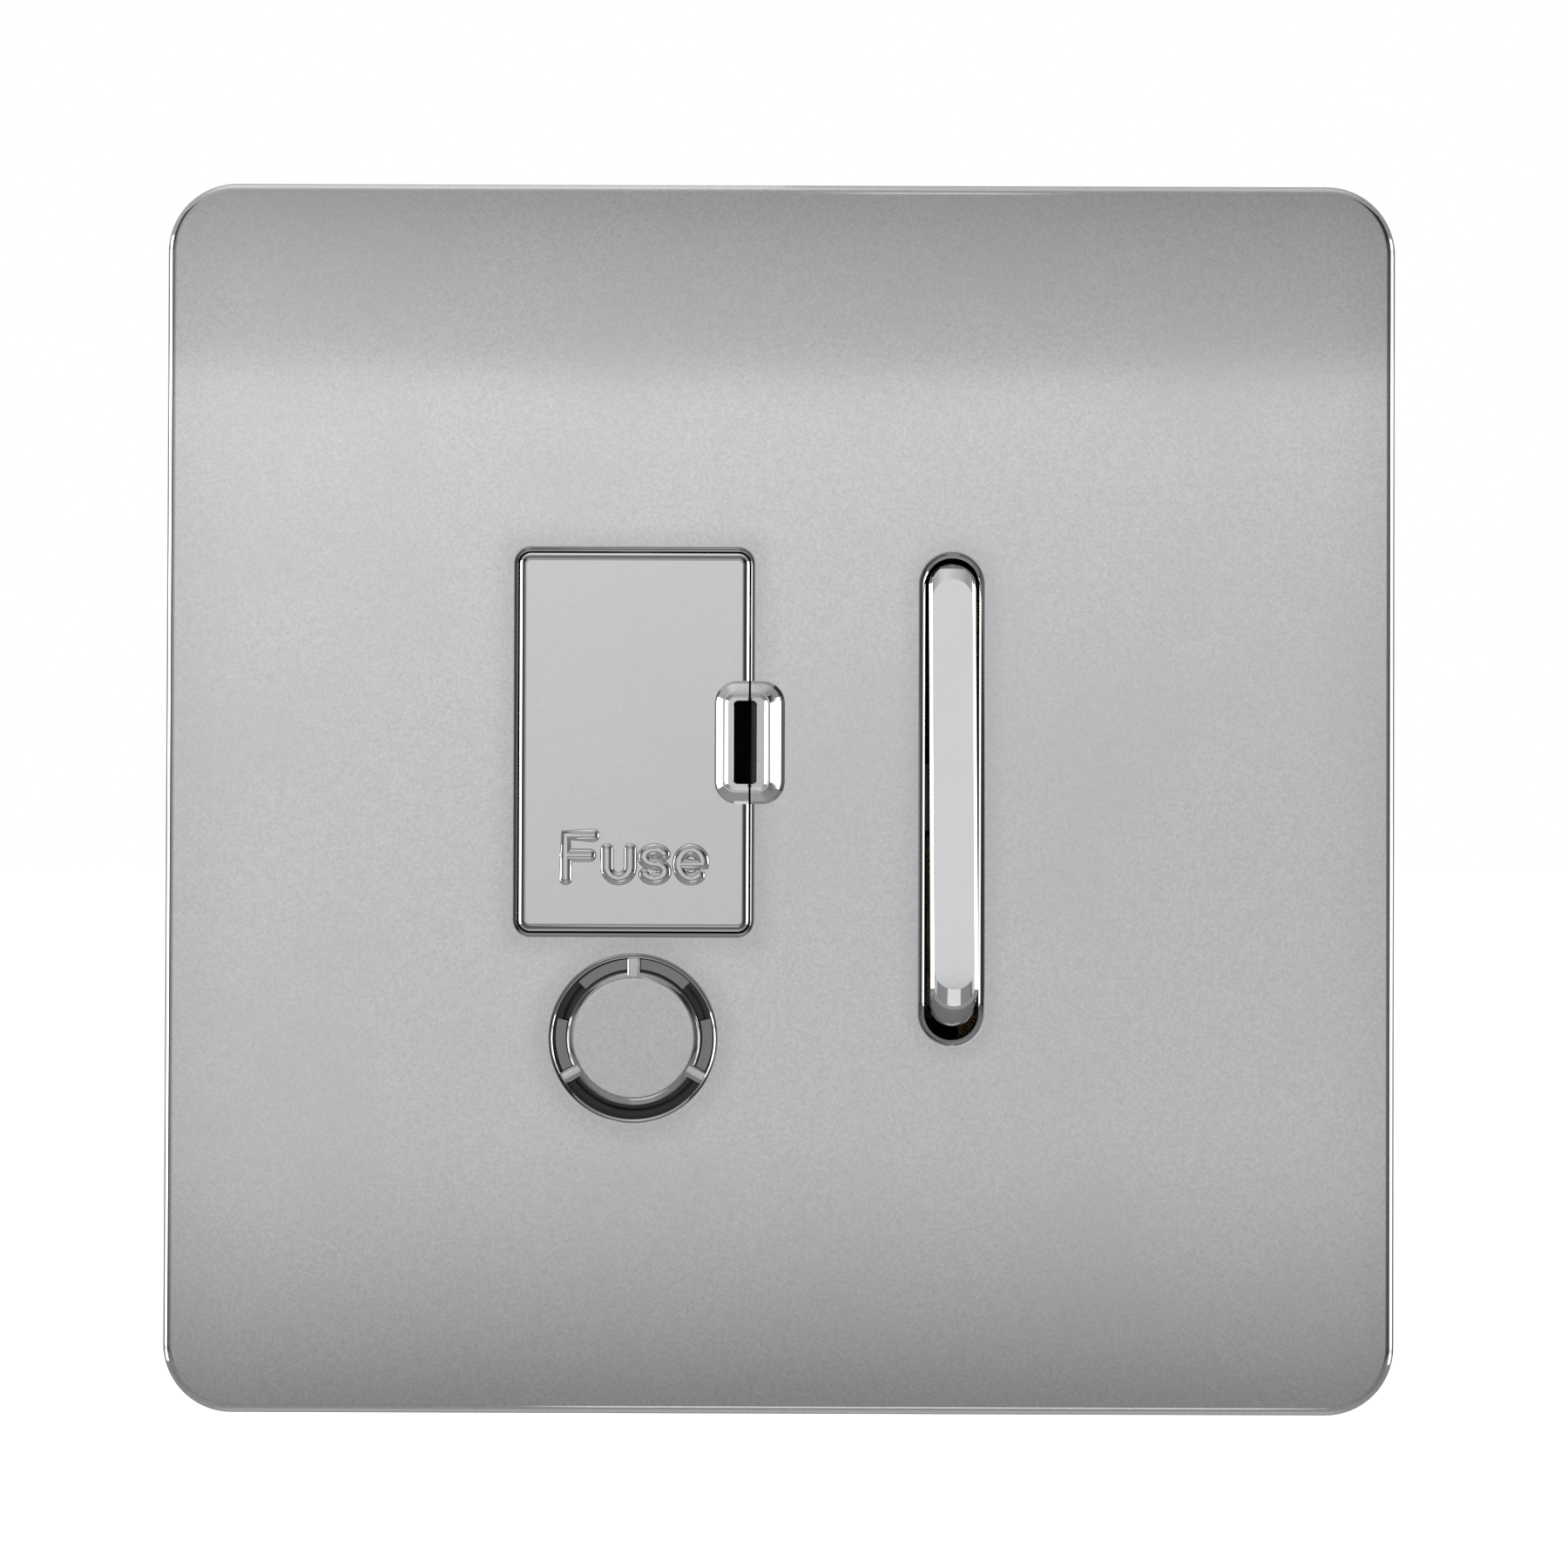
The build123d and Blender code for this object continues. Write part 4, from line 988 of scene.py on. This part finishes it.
def studioFloor():
    bm = bmesh.new()
    bmesh.ops.create_circle(bm, cap_ends=True, segments=studio["floorSegments"], radius=studio["floorRadius"])
    moveBy(bm, z=studio["floorLevel"])
    floor = toObject(bm, "floor")
    material, tree, output = bareMaterial("pale_floor")
    matt = addNode(tree, "ShaderNodeBsdfDiffuse", Color=(*[studio["floorColour"]] * 3, 1))
    glow = addNode(tree, "ShaderNodeEmission", Strength=studio["floorGlow"])
    path = tree.nodes.new("ShaderNodeLightPath")
    total = tree.nodes.new("ShaderNodeAddShader")
    seen = tree.nodes.new("ShaderNodeMixShader")
    tree.links.new(matt.outputs["BSDF"], total.inputs[0])
    tree.links.new(glow.outputs["Emission"], total.inputs[1])
    tree.links.new(path.outputs["Is Camera Ray"], seen.inputs["Fac"])
    tree.links.new(matt.outputs["BSDF"], seen.inputs[1])
    tree.links.new(total.outputs["Shader"], seen.inputs[2])
    tree.links.new(seen.outputs["Shader"], output.inputs["Surface"])
    floor.data.materials.append(material)
    floor.visible_glossy = False


# Brightness of the tent: by height (the Z of a point on it), finer across the front, then by angle round from the
# front in degrees, with a lean from left to right near the front, and last the cards (angles, heights, brightness)
tent = {
    "heights": (
        (-1.0, 0.6), (-0.97, 0.6), (-0.9, 0.42), (-0.6, 0.37), (-0.3, 0.34), (0.3, 0.48), (0.5, 0.5), (0.8, 0.55),
        (0.93, 0.9), (1.0, 0.95),
    ),
    "frontHeight": 0.25,
    "front": (
        (-0.25, 0.3), (-0.2065, 0.345), (-0.202, 0.385), (-0.189, 0.475), (-0.174, 0.56), (-0.159, 0.63),
        (-0.143, 0.7), (-0.129, 0.75), (-0.113, 0.79), (0.0, 0.845), (0.1, 0.93), (0.154, 1.0), (0.16, 0.74),
        (0.181, 0.68), (0.1955, 0.63), (0.2075, 0.57), (0.2155, 0.48), (0.222, 0.465), (0.25, 0.465),
    ),
    "round": (
        (-180, 0.75), (-140, 0.75), (-132, 0.4), (-104, 0.4), (-100, 4.5), (-71, 4.5), (-67, 0.2), (-60, 0.2),
        (-50, 0.28), (-40, 0.42), (-30, 0.56), (-20, 0.76), (-12.7, 0.9), (-11.3, 1.0), (11.3, 0.98), (12.7, 0.86),
        (16, 0.62), (20, 0.42), (26, 0.28), (40, 0.2), (64, 0.2), (68, 4.5), (100, 4.5), (104, 0.4), (132, 0.4),
        (140, 0.75), (180, 0.75),
    ),
    "lean": ((-1, 0), (-0.14, 0.02), (0, 0.05), (0.15, 0.06), (0.19, 0.1), (1, 0.1)),
    "leanReach": 15,
    "leanScale": 0.1,
    "cards": (
        ((1.9, 4.9), (0.25, 0.52), 0.95),
        ((-5, 12), (-0.66, -0.44), 1.05),
        ((-66, -36), (-0.6, -0.26), 0.3),
        ((26, 64), (-0.6, -0.26), 0.28),
        ((-66, -36), (0.26, 0.6), 0.1),
        ((26, 64), (0.26, 0.6), 0.05),
        ((-100, -71), (-0.36, -0.25), 4.0),
        ((68, 100), (-0.36, -0.25), 4.0),
        ((-100, -71), (0.25, 0.36), 4.0),
        ((68, 100), (0.25, 0.36), 4.0),
    ),
    "cardFade": (1, 0.01),
}


def rampOver(tree, value, low, high, stops):
    top = max(v for place, v in stops)
    ramp = addRamp(tree, [((place - low) / (high - low), v / top) for place, v in stops])
    tree.links.new(rangeNode(tree, value, low, high), ramp.inputs["Fac"])
    return mathNode(tree, 'MULTIPLY', ramp.outputs["Color"], top)


def cardSpan(tree, value, low, high, fade):
    stops = ((low - fade, 0), (low, 1), (high, 1), (high + fade, 0))
    return rampOver(tree, value, low - fade, high + fade, stops)


def cardMask(tree, degrees, height, angles, heights):
    angleFade, heightFade = tent["cardFade"]
    across = cardSpan(tree, degrees, *angles, angleFade)
    upward = cardSpan(tree, height, *heights, heightFade)
    return mathNode(tree, 'MULTIPLY', across, upward)


def blendTo(tree, mask, value, other):
    change = mathNode(tree, 'SUBTRACT', other, value)
    return mathNode(tree, 'ADD', value, mathNode(tree, 'MULTIPLY', mask, change))


def lightTent():
    around, upward = studio["tentSegments"]
    bm = bmesh.new()
    bmesh.ops.create_uvsphere(bm, u_segments=around, v_segments=upward, radius=studio["tentRadius"])
    shell = toObject(bm, "light_tent")
    material, tree, output = bareMaterial("tent_light")
    split = splitPlace(tree, tree.nodes.new("ShaderNodeTexCoord"))
    frontward = mathNode(tree, 'MULTIPLY', split.outputs["Y"], -1)
    angle = mathNode(tree, 'ARCTAN2', split.outputs["X"], frontward)
    degrees = mathNode(tree, 'DEGREES', angle)
    height = split.outputs["Z"]
    top, reach = tent["frontHeight"], tent["leanReach"]
    frontal = mathNode(tree, 'LESS_THAN', mathNode(tree, 'ABSOLUTE', height), top)
    byHeight = blendTo(tree, frontal, rampOver(tree, height, -1, 1, tent["heights"]),
                       rampOver(tree, height, -top, top, tent["front"]))
    byAngle = blendTo(tree, frontal, 1, rampOver(tree, degrees, -180, 180, tent["round"]))
    nearFront = mathNode(tree, 'MINIMUM', mathNode(tree, 'MAXIMUM', degrees, -reach), reach)
    tilt = mathNode(tree, 'MULTIPLY', nearFront, rampOver(tree, height, -1, 1, tent["lean"]))
    leaning = mathNode(tree, 'SUBTRACT', 1, mathNode(tree, 'MULTIPLY', tilt, tent["leanScale"]))
    strength = mathNode(tree, 'MULTIPLY', mathNode(tree, 'MULTIPLY', byHeight, byAngle), leaning)
    for angles, heights, brightness in tent["cards"]:
        strength = blendTo(tree, cardMask(tree, degrees, height, angles, heights), strength, brightness)
    glow = tree.nodes.new("ShaderNodeEmission")
    tree.links.new(strength, glow.inputs["Strength"])
    tree.links.new(glow.outputs["Emission"], output.inputs["Surface"])
    material.cycles.emission_sampling = 'NONE'
    shell.data.materials.append(material)
    shell.visible_camera = False
    shell.visible_diffuse = False
    shell.visible_shadow = False


def whiteWorld():
    world = bpy.data.worlds.new("white_room")
    world.use_nodes = True
    scene.world = world
    tree = world.node_tree
    background = tree.nodes["Background"]
    background.inputs["Color"].default_value = (1, 1, 1, 1)
    path = tree.nodes.new("ShaderNodeLightPath")
    seen = mathNode(tree, 'MAXIMUM', path.outputs["Is Camera Ray"], path.outputs["Is Glossy Ray"])
    seen = mathNode(tree, 'MAXIMUM', seen, path.outputs["Is Transmission Ray"])
    rest = mathNode(tree, 'MULTIPLY', seen, 1 - studio["skyLight"])
    tree.links.new(mathNode(tree, 'ADD', rest, studio["skyLight"]), background.inputs["Strength"])


whiteWorld()
studioFloor()
lightTent()
for number, lampSettings in enumerate(studio["lamps"]):
    studioLamp(number, *lampSettings)


# Camera: square on, a little below the middle and looking very slightly up
camera = {
    "place": (0.00028, -0.248, -0.0015),
    "pitch": 0.6,
    "roll": -0.19,
    "fieldAngle": 25.7,
    "clipStart": 0.01,
}


def photoCamera():
    data = bpy.data.cameras.new("camera")
    data.sensor_fit = 'HORIZONTAL'
    data.angle = math.radians(camera["fieldAngle"])
    data.clip_start = camera["clipStart"]
    view = bpy.data.objects.new("camera", data)
    view.location = camera["place"]
    view.rotation_euler = (math.radians(90 + camera["pitch"]), math.radians(camera["roll"]), 0)
    scene.collection.objects.link(view)
    scene.camera = view


photoCamera()
scene.view_settings.view_transform = 'Standard'
print("studio ready")
